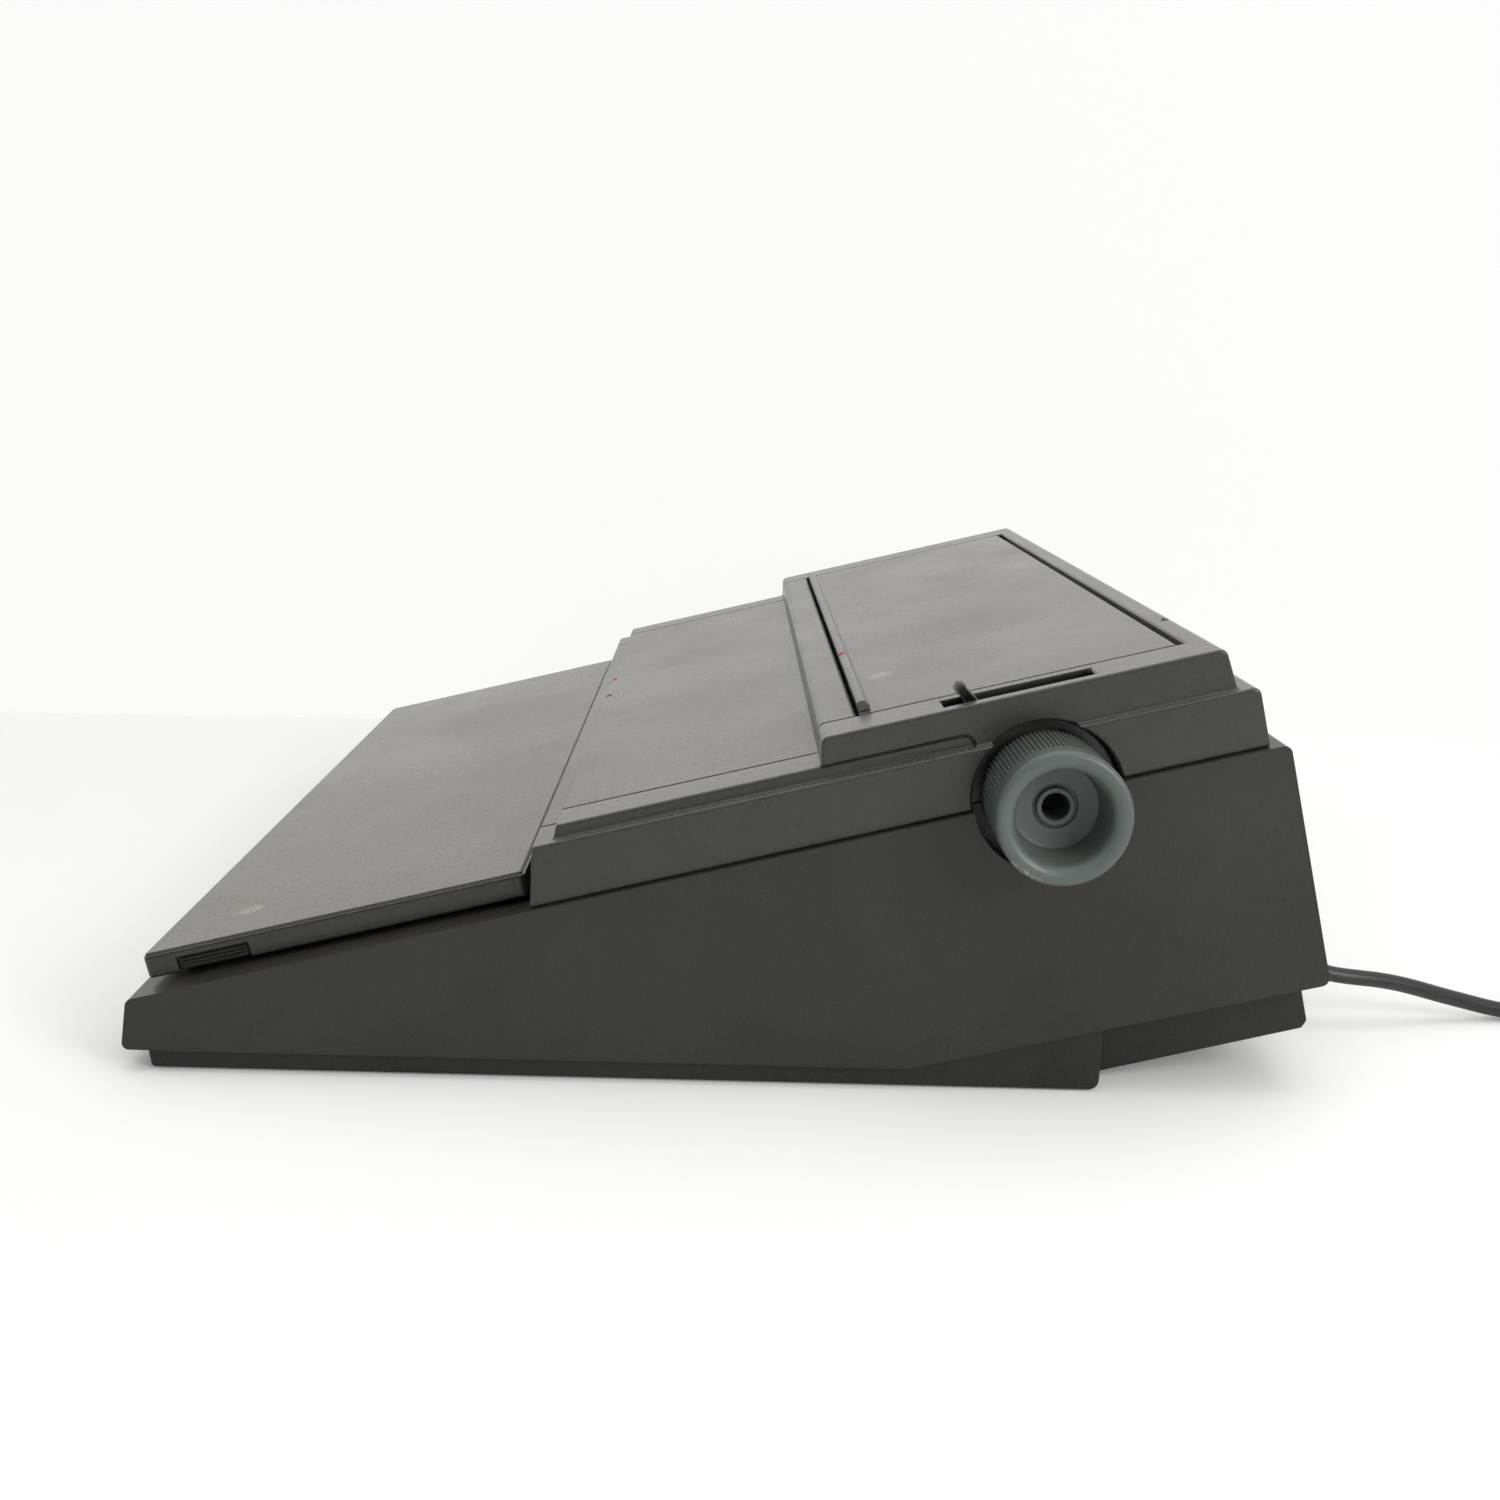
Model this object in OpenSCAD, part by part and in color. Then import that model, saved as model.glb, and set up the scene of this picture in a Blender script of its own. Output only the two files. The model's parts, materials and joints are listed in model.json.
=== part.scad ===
// Portable electronic daisy-wheel typewriter, in millimetres.
// X runs across the machine, with +X at the platen knob, Y runs from the keyboard to the back, and Z is up.
// The origin is on the table, below the middle of the shell. The deck slopes, so most pieces are drawn
// in the deck's own axes: X, s up the slope and n square to it, and are then turned by the slope.

/* [Casing] */
// Width of the lower shell
body_w = 422; // [412:1:450]
// Slope of the deck, in degrees
slope = 14.4; // [13.4:0.1:15.4]
// Wall of the plastic mouldings
wall = 2.5; // [2:0.1:3]
// Height of the deck, square to the slope, above the origin
deck_n = 65.2; // [65.2:0.1:69]
// Front edge of the deck along the slope
deck_front = -163.5; // [-170:0.5:-163]
// Rear face of the lower shell along the slope
shell_rear = 186; // [184.5:0.5:196]
// Bottom edge of the lower shell at the back
shell_rear_n = -9.6; // [-12:0.2:-8]
// Height above the table of the lower shell's front edge
skirt_z = 7; // [6:0.1:9]
// Where the lower shell's bottom edge starts to rise, along Y
bend_y = 58; // [50:1:70]
// How far the upper casing stands in from the shell's sides
casing_in = 2.5; // [1.5:0.1:3.5]
// Height of the upper casing above the deck
casing_h = 18.1; // [17.5:0.1:20]
// Front of the upper casing at the deck, along the slope
casing_front = -40.7; // [-41.5:0.1:-39.5]
// How far the upper casing's front wall leans back
casing_lean = 5.2; // [4:0.1:6]
// Rear face of the upper casing along the slope
casing_rear = 180.8; // [180:0.2:183]
// How far the two top steps stand in from the shell's sides
step_in = 5.6; // [4.5:0.1:7]
// Height of the front step above the upper casing
front_step_h = 4; // [3.5:0.1:5]
// Front of the front step along the slope
front_step = -29.4; // [-31:0.1:-28]
// Height of the rear step above the upper casing
rear_step_h = 12.5; // [12:0.1:15]
// Front of the rear step along the slope
rear_step = 52.3; // [52:0.1:53.5]
// Back of the rear step along the slope
rear_step_back = 173.8; // [172:0.2:176]
// Radius of the casing's long edges
edge_r = 2.4; // [1:0.1:3]
// Depth of the long recess in both sides of the rear step
side_recess = 1; // [0.6:0.1:1.2]
// Rear end of that recess along the slope
recess_end = 97.5; // [90:0.5:98]

/* [Covers] */
// Distance from the shell's side to the access cover
access_side = 27; // [26.4:0.1:28.4]
// Depth of the access cover's hinge below its rear strip's top
access_pin_drop = 2.2; // [2.1:0.05:2.4]
// Distance from the shell's side to the paper support
support_side = 27; // [26.8:0.1:29]
// Front edge of the paper support along the slope
support_front = 67; // [66:0.1:69]
// Rear edge of the paper support along the slope
support_rear = 164.8; // [163:0.1:165]
// Gap between the access cover and the paper support
support_gap = 0.8; // [0.8:0.05:1.2]
// Width of the paper slot behind the paper support
paper_slot = 1.8; // [1.8:0.1:4]
// Height of the ruler bar on the paper support
ruler_h = 3.1; // [2.5:0.1:4.5]
// Width of the ruler bar
ruler_w = 3.7; // [3.5:0.1:6]
// Distance from the shell's side to the keyboard cover
cover_side = 10.7; // [8:0.1:12]
// Radius of the keyboard cover's corners, seen from above
cover_r = 2; // [1:0.1:4]
// Top of the keyboard cover above the deck
cover_h = 9.5; // [9.2:0.1:11]
// Front edge of the keyboard cover along the slope
cover_front = -159.4; // [-161:0.1:-159]
// Rear edge of the keyboard cover along the slope
cover_rear = -41.2; // [-43:0.1:-41.2]
// Dark gap below the keyboard cover's walls
cover_gap = 1.8; // [1.2:0.1:2.5]
// Travel of a cover latch
latch_travel = 1.5; // [1:0.1:1.8]

/* [Base] */
// Height of the rubber feet below the base pan
foot_h = 0.6; // [0.4:0.1:1.4]
// Radius of a rubber foot
foot_r = 5; // [4:0.5:6]
// How far the base pan's rear part stands in from the shell's sides
rear_pan_in = 12; // [10:0.5:14]
// Depth of the base pan's rear part below the shell's bottom edge
rear_pan_h = 17; // [16:0.5:20]
// Where the base pan's front part ends, along Y
pan_step_y = 116.5; // [114:0.5:120]

/* [Platen] */
// Radius of the platen
platen_r = 17; // [16.5:0.1:17.4]
// Distance from the shell's side to the platen's end
platen_side = 45; // [45:1:61]
// Place of the platen's axis along the slope
platen_s = 115; // [114.5:0.1:115.5]
// Depth of the platen's axis below the deck
platen_drop = 0.5; // [0.3:0.1:0.7]
// Radius of the platen's shaft
shaft_r = 4; // [3.5:0.1:4.5]
// Outer radius of the platen knob
knob_r = 19.25; // [18:0.25:20]
// How far the knob stands out of the shell's side
knob_out = 25; // [20:1:28]
// Radius of the round well that the knob turns in
well_r = 22.2; // [21.5:0.1:24]
// Fine ribs round the knob
knob_ribs = 88; // [60:1:100]
// Module of the line feed gears
gear_module = 1; // [0.9:0.01:1]
// Teeth of the platen gear
platen_teeth = 48; // [44:1:48]
// Teeth of the line feed motor's pinion
feed_teeth = 12; // [12:1:14]
// Radius of the paper bail's rollers
bail_roller_r = 5; // [4:0.1:5.4]
// Radius of the pressure rollers
pressure_r = 7; // [6:0.1:7.4]

/* [Carriage] */
// Radius of the carriage's guide rods
rod_r = 4; // [3:0.1:4.5]
// Half the width of the carriage
carriage_half = 35; // [32:1:38]
// Radius of the print wheel
wheel_r = 36; // [34:0.5:36.4]
// Petals of the print wheel
petals = 96; // [60:1:100]
// Radius of the print wheel's motor
wheel_motor_r = 17; // [14:0.5:18]
// Radius of the belt pulleys
pulley_r = 8; // [6:0.5:9]
// Travel of the print hammer
hammer_travel = 3.7; // [2:0.1:3.7]

/* [Keyboard] */
// Spacing of the keys
key_pitch = 19.05; // [18.5:0.01:19.05]
// Height of the key tops above the deck
key_h = 5.2; // [4:0.1:5.4]
// Travel of a key
key_travel = 3.5; // [2.5:0.1:3.6]
// Gap between neighbouring keys at their foot
key_gap = 1.4; // [1:0.1:2]

/* [Mains lead] */
// Diameter of the mains lead
lead_d = 5.4; // [5:0.1:5.6]
// Spacing of the coil's turns
turn_pitch = 5.95; // [5.9:0.01:6.4]
// Inner radius of the coil at the lead's middle
coil_in = 24; // [22:0.5:28]

/* [Clearances] */
// Gap between pieces that move past each other
gap = 0.3; // [0.25:0.01:0.4]
// Radial clearance of a shaft in its bearing
fit = 0.06; // [0.03:0.01:0.09]
// Radial clearance of a piece that is fixed in a hole
seat = 0.05; // [0.02:0.01:0.1]

/* [Hidden] */

$fn = 48;
far = 500;               // longer than the machine, for cuts that run right through
e = 0.01;
black = "#1c1c1c";
charcoal = "#3a3a39";
dark = "#2b2b2b";
grey = "#636b68";
steel = "#9a9c9e";
board_green = "#2f6b45";
key_cream = "#8f8d84";

// Levels square to the slope
casing_n = deck_n + casing_h;
front_n = casing_n + front_step_h;
rear_n = casing_n + rear_step_h;
cover_n = deck_n + cover_h;
platen_n = deck_n - platen_drop;
half = body_w/2;
casing_half = half - casing_in;
step_half = half - step_in;
pan_half = half - wall - gap;
rear_pan_half = half - rear_pan_in;
pan_z = foot_h;
pan_floor = pan_z + wall;
rear_pan_n = shell_rear_n - rear_pan_h;
rear_floor_n = rear_pan_n + wall;
rear_pan_back = shell_rear - 5.6;

// Shape helpers
// A point of the slope's axes as Y and Z
function world(s, n) = [s*cos(slope) - n*sin(slope), s*sin(slope) + n*cos(slope)];
// Height above the table of the level n at the place y
function level_z(y, n) = y*tan(slope) + n/cos(slope);
// Level of the base pan's floor at the place s along the slope
function floor_n(s) = max((pan_floor - s*sin(slope))/cos(slope), rear_floor_n);
function unit(v) = v/norm(v);
// The corner b between a and c, rounded by r with a few points on the arc
function corner(a, b, c, r, steps = 5) =
  let (u = unit(a - b), v = unit(c - b), half_angle = acos(u*v)/2,
       centre = b + unit(u + v)*r/sin(half_angle), reach = r/tan(half_angle))
  r <= 0 ? [b] : [for (i = [0:steps])
    let (q = (b + u*reach)*(1 - i/steps) + (b + v*reach)*i/steps) centre + unit(q - centre)*r];
// A polygon's points [x, y, r] with each corner rounded by its own r
function rounded(p) = [for (i = [0:len(p) - 1])
  let (k = len(p), a = p[(i + k - 1)%k], b = p[i], c = p[(i + 1)%k])
  each corner([a[0], a[1]], [b[0], b[1]], [c[0], c[1]], b[2])];
function arc(r, from, to, steps, c = [0, 0]) =
  [for (i = [0:steps]) let (a = from + (to - from)*i/steps) c + r*[cos(a), sin(a)]];

// A profile drawn in Y and Z, or in s and n, as a bar of width w across the machine
module across(w) rotate([90, 0, 90]) linear_extrude(w, center = true) children();
module sloped() rotate([slope, 0, 0]) children();
// A block in the slope's axes from its lowest to its highest corner
module block(a, b) translate(a) cube(b - a);
// A round bar across the machine
module rod(r, from, to, s, n) translate([from, s, n]) rotate([0, 90, 0]) cylinder(r = r, h = to - from);
// The same on both sides of the machine
module both() { children(); mirror([1, 0, 0]) children(); }
// A plate with rounded corners, from [x, s] to [x, s], between two levels
module plate(a, b, n0, n1, r) translate([0, 0, n0]) linear_extrude(n1 - n0)
  polygon(rounded([[a[0], a[1], r], [b[0], a[1], r], [b[0], b[1], r], [a[0], b[1], r]]));
// A spur gear about Z, its teeth narrowed a little for backlash
module gear(m, teeth, h, turn = 0) {
  tooth = 360/teeth;
  points = [for (i = [0:teeth - 1]) let (a = turn + i*tooth)
    each [for (q = [[-1.25, -0.34], [0, -0.225], [0.85, -0.11], [0.85, 0.11], [0, 0.225], [-1.25, 0.34]])
      (m*teeth/2 + q[0]*m)*[cos(a + q[1]*tooth), sin(a + q[1]*tooth)]]];
  linear_extrude(h) polygon(points);
}

// Casing
wall_lean = casing_lean/casing_h;
shell_front = world(deck_front, deck_n)[0];
front_lean = 1.8;
shell_outline = [
  [shell_front - front_lean, skirt_z, 2], [each world(deck_front, deck_n), edge_r],
  [each world(shell_rear, deck_n), edge_r], [each world(shell_rear, shell_rear_n), 2.5],
  [bend_y, skirt_z, 0]];
shell_cavity = [
  [shell_front - front_lean + wall, -far], [shell_front - front_lean + wall, skirt_z],
  [shell_front + wall, level_z(shell_front + wall, deck_n - wall)],
  world(shell_rear - wall, deck_n - wall), world(shell_rear - wall, shell_rear_n - far)];

// Keyboard layout: rows from the space bar up
curb_w = 2.2;
key_first_s = cover_front + wall + gap + curb_w + 1.2 + key_pitch/2;
function row_s(row) = key_first_s + row*key_pitch;
key_half_w = 9.1*key_pitch;
well_front = row_s(0) - key_pitch/2 - 1.2;
well_back = row_s(4) + key_pitch/2 + 1.2;
key_well_half = key_half_w + 1;
curb_n = deck_n + 2.5;
plate_n = deck_n - 9.7;         // underside of the keyboard plate
plate_t = 2;
board_n = deck_n - 18.2;        // underside of the keyboard board
board_t = 1.6;
key_plate_half = half - wall - 20;

// Knob and its well
well_floor_x = half - 13;
knob_back_x = half - 8;
knob_x = half + knob_out;
hub_x = half + 8.5;
cover_half = half - cover_side;
access_half = half - access_side;
support_half = half - support_side;
seam = 0.6;                       // gap beside the two hinged covers
platen_half = half - platen_side;
frame_x = half - 23.8;            // inner face of a side frame
frame_t = 2;
frame_out = frame_x + frame_t;
bush_r = 7;

// Latches
latch_s = [cover_front + 10, cover_front + 32];
latch_n = [deck_n + cover_gap + 0.6, deck_n + cover_gap + 4];
latch_leg = [cover_half - 11.3, cover_half - 8.5];

// The mechanism's places
rear_lean = 0.15;
opening_half = half - 13;
strip_n = casing_n - wall;       // underside of the upper casing's top
access_n = front_n - wall;       // underside of the access cover
support_n = rear_n - wall;       // underside of the paper support
access_rear = support_front - support_gap;
access_pin = [access_rear - 1.5, rear_n - access_pin_drop];
access_pin_r = 1.3;
// Front face of the rear step at the level n
function step_face(n) = rear_step - 0.9 + (n - casing_n)*(0.9/rear_step_h + rear_lean);
support_pin = [support_rear - 4, rear_n - 4.8];
ruler_half = support_half - 3;
pin_r = 2;
rim = wall;
bail_pivot = [platen_s - 11, platen_n - 14.7];
bail_reach = platen_r + bail_roller_r + 0.4;
bail_at = [platen_s + bail_reach*cos(130), platen_n + bail_reach*sin(130)];
bail_r = 2;
pressure_reach = platen_r + pressure_r + gap;
pressure_at = [platen_s + pressure_reach*cos(-100), platen_n + pressure_reach*sin(-100)];
pressure_shaft_r = 2.5;
carrier_pivot = [platen_s + 17, platen_n - 28.7];
pivot_r = 3;
gear_reach = gear_module*(platen_teeth + feed_teeth)/2;
feed_angle = -15;
feed_at = [platen_s + gear_reach*cos(feed_angle), platen_n + gear_reach*sin(feed_angle)];
gear_x = frame_out + 2.6;
gear_t = 5.4;
rods_n = 4;
rod_s = [26, 78];
wheel_s = platen_s - platen_r - 5.5;   // front face of the print wheel
wheel_n = platen_n - wheel_r + 0.8;
carriage_n = rods_n + rod_r + 1.5;
carriage_t = 3;
belt_s = 52;
belt_n = 1;
belt_h = 5;
belt_t = 1.2;
pulley_x = half - 46;
idler_r = 2.5;
lever_x = [half - 18, half - 14];
lever_slot = [[half - 21, platen_s - 23.6], [half - 10.5, platen_s + 21.4]];
post_x = half - 12;
post_y = [-140, -45, 50];
post_r = 4;
post_z = pan_floor + 3;
screw_r = 1.6;

// The halves of the round well that the knob turns in, one below the deck and one above
module knob_well(hole) rotate([slope, 0, 0]) {
  if (hole) rod(well_r, well_floor_x + 2, far, platen_s, platen_n);
  else rod(well_r + 2, well_floor_x, half + 1, platen_s, platen_n);
}
module shaft_hole() sloped() rod(bush_r + 1.5, well_floor_x - 1, half, platen_s, platen_n);

module case_posts(r, z, h) for (x = [-post_x, post_x], y = post_y) translate([x, y, z]) cylinder(r = r, h = h);
module shell_form() across(body_w) polygon(rounded(shell_outline));

module main_shell() color(charcoal) {
  plate_bosses = [[key_plate_half - 4, row_s(2) - 6], [key_plate_half - 4, row_s(4)]];
  difference() {
    union() {
      difference() {
        shell_form();
        across(body_w - 2*wall) polygon(shell_cavity);
      }
      // Curb round the keys, which the keyboard cover's ribs rest on
      sloped() plate([-key_well_half - curb_w, well_front - curb_w], [key_well_half + curb_w, well_back + curb_w],
        deck_n - e, curb_n, 2);
      // Bosses that carry the keyboard plate
      sloped() both() for (b = plate_bosses)
        translate([b[0], b[1], plate_n + plate_t]) cylinder(r = 4, h = deck_n - wall - plate_n - plate_t + e);
      intersection() {
        knob_well(false);
        shell_form();
        sloped() block([0, -far, -far], [far, far, deck_n]);
      }
      // Posts that the case screws go into
      intersection() {
        case_posts(post_r, post_z, far);
        shell_form();
      }
    }
    case_posts(screw_r + seat, post_z - 1, 12);
    // Key well
    sloped() plate([-key_well_half, well_front], [key_well_half, well_back], deck_n - 2*wall, far, 1);
    // Opening below the upper casing
    sloped() plate([-opening_half, casing_front + 6.7], [opening_half, casing_rear - 4.8], deck_n - wall - 1, far, 3);
    knob_well(true);
    shaft_hole();
    // Slots for the latch legs
    sloped() both() block([latch_leg[0] - latch_travel - gap, latch_s[0] + 3, deck_n - wall - 1],
      [latch_leg[1] + gap, latch_s[1] - 3, deck_n + 1]);
    // Opening for the power switch
    sloped() block([switch_x - 6.8, shell_rear - wall - 1, switch_n - 9.8], [switch_x + 6.8, shell_rear + 1, switch_n + 9.8]);
  }
}

casing_profile = [
  [casing_front, deck_n, 0], [casing_front + casing_lean, casing_n, edge_r/2],
  [casing_rear, casing_n, edge_r], [casing_rear, deck_n, 0]];
front_step_profile = [
  [front_step, casing_n - e, 0], [front_step + 1.8, front_n, 1.2],
  [rear_step + 10, front_n, 0], [rear_step + 10, casing_n - e, 0]];
rear_step_profile = [
  [rear_step - 0.9, casing_n - e, 0], [rear_step + rear_lean*rear_step_h, rear_n, edge_r],
  [rear_step_back, rear_n, edge_r], [rear_step_back + 1.2, casing_n - e, 0]];

module casing_form() {
  across(2*casing_half) polygon(rounded(casing_profile));
  across(2*(step_half - side_recess)) polygon(rounded(front_step_profile));
  across(2*step_half) polygon(rounded(rear_step_profile));
}

module upper_casing() color(charcoal) sloped() {
  inner = casing_half - wall;
  step_inner = step_half - wall;
  cover_cut = access_half + seam;
  support_cut = support_half + seam;
  front_inner = casing_front + casing_lean + wall;
  difference() {
    union() {
      difference() {
        casing_form();
        // Hollow of the casing and of its two steps
        block([-inner, casing_front + wall + 1, deck_n - 1], [inner, front_inner, strip_n - 4]);
        block([-inner, front_inner - e, deck_n - 1], [inner, casing_rear - wall, strip_n]);
        block([-step_inner, front_step + 6, strip_n - 1], [step_inner, rear_step + 5, access_n]);
        block([-step_inner, rear_step + wall + 1, strip_n - 1], [step_inner, rear_step_back - wall, support_n]);
      }
      // Rims down both sides of the access opening and of the paper support
      both() block([cover_cut, front_step + 3, access_n - 12], [cover_cut + rim, rear_step + 4, access_n + e]);
      both() block([support_cut, rear_step + 3, support_n - 9], [support_cut + rim, support_rear + 6, support_n + e]);
      intersection() {
        rod(well_r + 2, well_floor_x, half, platen_s, platen_n);
        casing_form();
        block([0, 0, deck_n], [far, far, far]);
      }
    }
    // Opening for the access cover, the paper support and the slot behind it
    block([-cover_cut, casing_front - 1, strip_n - gap], [cover_cut, support_front + 1, rear_n + 1]);
    block([-support_cut, support_front, support_n - 4], [support_cut, support_rear + paper_slot, rear_n + 1]);
    rod(well_r, well_floor_x + 2, half + 1, platen_s, platen_n);
    rod(bush_r + 1.5, well_floor_x - 1, half, platen_s, platen_n);
    // Slot for the paper release lever
    block([lever_slot[0][0], lever_slot[0][1], support_n - 1], [lever_slot[1][0], lever_slot[1][1], rear_n + 1]);
    // Long recess in the rear step's sides, in line with the front step's sides
    both() translate([step_half - side_recess, 0, 0]) rotate([90, 0, 90]) linear_extrude(half) polygon(rounded([
      [rear_step - 4, casing_n, 0], [recess_end, casing_n, 0], [recess_end, front_n, 3.2], [rear_step - 4, front_n, 0]]));
    // Bearings of the two covers' pins
    both() rod(access_pin_r + fit, cover_cut - 1, cover_cut + rim + 1, access_pin[0], access_pin[1]);
    both() rod(pin_r + fit, support_cut - 1, support_cut + rim + 1, support_pin[0], support_pin[1]);
  }
  // Ledge below the paper support's front edge
  block([-support_cut - 1, support_front - 0.4, support_n - gap - 3], [support_cut + 1, support_front + 2.4, support_n - gap]);
}

module access_cover() color(charcoal) sloped() {
  strip_front = casing_front + casing_lean;
  across(2*access_half) polygon([
    [access_rear, support_n], each corner([access_rear, support_n], [access_rear, rear_n], [rear_step, rear_n], 1.5),
    each corner([access_rear, rear_n], [step_face(rear_n), rear_n], [step_face(front_n), front_n], edge_r),
    [step_face(front_n), front_n],
    each corner([step_face(front_n), front_n], [front_step + 1.8, front_n], [front_step, casing_n], 1.2),
    [front_step, casing_n], [strip_front + 0.5, casing_n], [strip_front, casing_n - 0.5],
    [strip_front - wall*wall_lean, strip_n], [front_step + 1.6, strip_n], [front_step + 3.6, access_n],
    [step_face(access_n) + wall, access_n], [step_face(support_n) + wall, support_n]]);
  // Hinge pins at the rear corners
  both() rod(access_pin_r, access_half - 4, access_half + gap + rim, access_pin[0], access_pin[1]);
  // Stiffening ribs
  for (x = [-120:60:120]) block([x - 1, front_step + 8, access_n - 2.2], [x + 1, rear_step + 1, access_n + e]);
}

module paper_support() color(charcoal) sloped() {
  across(2*support_half) polygon([
    [support_front, support_n], [support_front, rear_n], [support_rear - 0.8, rear_n],
    [support_rear, rear_n - 0.8], [support_rear, support_n]]);
  both() {
    block([support_half - rim, support_pin[0] - 3, support_pin[1] - 3], [support_half, support_pin[0] + 3, support_n + e]);
    rod(pin_r, support_half - e, support_half + gap + rim, support_pin[0], support_pin[1]);
  }
  for (x = [-150:60:150]) block([x - 1, support_front + 20, support_n - 1.8], [x + 1, support_rear - 16, support_n + e]);
}

module ruler_bar() color(black) sloped() intersection() {
  across(far) polygon([
    [support_front, rear_n], [support_front, rear_n + ruler_h - 0.6], [support_front + 0.8, rear_n + ruler_h],
    [support_front + ruler_w - 1.2, rear_n + ruler_h], [support_front + ruler_w, rear_n + ruler_h - 1.6],
    [support_front + ruler_w, rear_n]]);
  // Slanting ends
  translate([0, 100, 0]) rotate([90, 0, 0]) linear_extrude(100) polygon([
    [-ruler_half, rear_n - 1], [ruler_half, rear_n - 1], [ruler_half, rear_n + 0.5],
    [ruler_half - ruler_h, rear_n + ruler_h + 1], [-ruler_half + ruler_h, rear_n + ruler_h + 1], [-ruler_half, rear_n + 0.5]]);
}

module keyboard_cover() color(charcoal) sloped() {
  low = deck_n + cover_gap;
  rib_x = key_well_half + curb_w/2;
  difference() {
    union() {
      translate([0, 0, low]) linear_extrude(cover_n - low - 1) polygon(cover_plan(0));
      translate([0, 0, cover_n - 1 - e]) linear_extrude(1 + e) polygon(cover_plan(0.8));
    }
    translate([0, 0, low - 1]) linear_extrude(cover_n - wall - low + 1) polygon(cover_plan(wall));
    // Finger notches for the latches
    both() block([cover_half - wall - 1, latch_s[0], low - 1], [half, latch_s[1], latch_n[1] + gap]);
  }
  // Ribs that rest on the curb round the keys
  both() block([rib_x - 0.8, well_front + 8, curb_n + gap], [rib_x + 0.8, well_back - 8, cover_n - wall + e]);
  // Guides for the latch plates
  both() for (s = [latch_s[0] + 1, latch_s[1] - 3])
    block([cover_half - 9, s, latch_n[1] + gap], [cover_half - wall, s + 2, cover_n - wall + e]);
}
function cover_plan(inset) = rounded([
  for (c = [[-1, cover_front, 1], [1, cover_front, 1], [1, cover_rear, -1], [-1, cover_rear, -1]])
    [c[0]*(cover_half - inset), c[1] + c[2]*inset, max(cover_r - inset, 0.4)]]);

module cover_latch() sloped() {
  face = cover_half - 0.7;
  difference() {
    union() {
      block([face - 2.6, latch_s[0] + gap, latch_n[0]], [face, latch_s[1] - gap, latch_n[1]]);
      // Grip ribs
      for (k = [0:2]) block([face - e, latch_s[0] + 1, latch_n[0] + 0.3 + k*1.15], [face + 0.5, latch_s[1] - 1, latch_n[0] + 0.9 + k*1.15]);
      // Arm and leg that drop through the deck's slot
      block([latch_leg[0], latch_s[0] + 5, latch_n[1] - 1.4], [face - 2, latch_s[1] - 5, latch_n[1]]);
      block([latch_leg[0], latch_s[0] + 5, deck_n - wall - 1.5], [latch_leg[0] + 2, latch_s[1] - 5, latch_n[1]]);
    }
  }
}
module cover_latch_right() color(dark) cover_latch();
module cover_latch_left() color(dark) mirror([1, 0, 0]) cover_latch();

pan_top = skirt_z + 4;
pan_front_y = shell_front - front_lean + wall + gap + 0.6;
pan_wall_y = pan_front_y + 3.3;   // the pan's front wall stands back below the skirt
pan_lip_z = skirt_z + 0.9;
rear_break_y = (pan_floor - rear_floor_n/cos(slope))/tan(slope);
ledge_n = shell_rear_n + 2;
module base_pan() color(dark) {
  rear_top = ledge_n + 2;
  difference() {
    union() {
      difference() {
        union() {
          // Front part, level with the table
          across(2*pan_half) polygon([
            [pan_front_y, pan_lip_z], [pan_wall_y, pan_lip_z],
            each corner([pan_wall_y, pan_lip_z], [pan_wall_y + 1.2, pan_z], [0, pan_z], 1.2),
            each corner([0, pan_z], [pan_step_y, pan_z], [pan_step_y, 99], 3),
            [pan_step_y, level_z(pan_step_y, shell_rear_n) + 3], [bend_y, pan_top], [pan_front_y, pan_top]]);
          // Rear part, parallel to the deck, with the ledge that closes the shell beside it
          across(2*rear_pan_half) polygon([
            world(rear_pan_back, rear_top), world(rear_pan_back, rear_pan_n + 2), world(rear_pan_back - 2, rear_pan_n),
            [pan_step_y - 4, level_z(pan_step_y - 4, rear_pan_n)], [pan_step_y - 4, level_z(pan_step_y - 4, rear_top)]]);
          sloped() block([-pan_half, pan_step_y - 4, ledge_n], [pan_half, shell_rear - wall - gap, rear_top]);
        }
        // Hollow of the front part and of the rear part
        across(2*(pan_half - wall)) polygon([
          [pan_wall_y + wall + 1.2, pan_floor], [pan_step_y - wall, pan_floor],
          [pan_step_y - wall, 99], [pan_wall_y + wall, 99]]);
        across(2*(rear_pan_half - wall)) polygon([
          world(rear_pan_back - wall, 60), world(rear_pan_back - wall, rear_floor_n),
          [rear_break_y, pan_floor], [rear_break_y, 99]]);
      }
      // Bosses that the shell's posts stand on
      case_posts(post_r + 2.5, pan_floor - e, post_z - pan_floor + e);
      // Post for the idler pulley
      sloped() translate([-pulley_x, belt_s, floor_n(belt_s) - 0.5])
        cylinder(r = 5, h = belt_n - 0.9 - gap - floor_n(belt_s) + 0.5);
      sloped() translate([-pulley_x, belt_s, floor_n(belt_s)])
        cylinder(r = idler_r, h = belt_n + belt_h + 1.5 - floor_n(belt_s));
      // Posts for the main board
      sloped() for (p = board_posts)
        translate([p[0], p[1], rear_floor_n - e]) cylinder(r = 3, h = main_board_n - rear_floor_n + e);
    }
    for (f = foot_places) translate([f[0], f[1], pan_z - 1]) cylinder(r = foot_stem_r + seat, h = wall + 2);
    // Holes and counterbores of the case screws
    case_posts(screw_r + 0.3, pan_z - 1, far);
    case_posts(screw_head_r + gap, pan_z - 1, screw_z + 2.2 - pan_z + 1);
    // Way out for the mains lead
    translate(gland_at) rotate([-90 - gland_dip, 0, 0]) cylinder(r = gland_r + seat, h = 40, center = true);
  }
}

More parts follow.
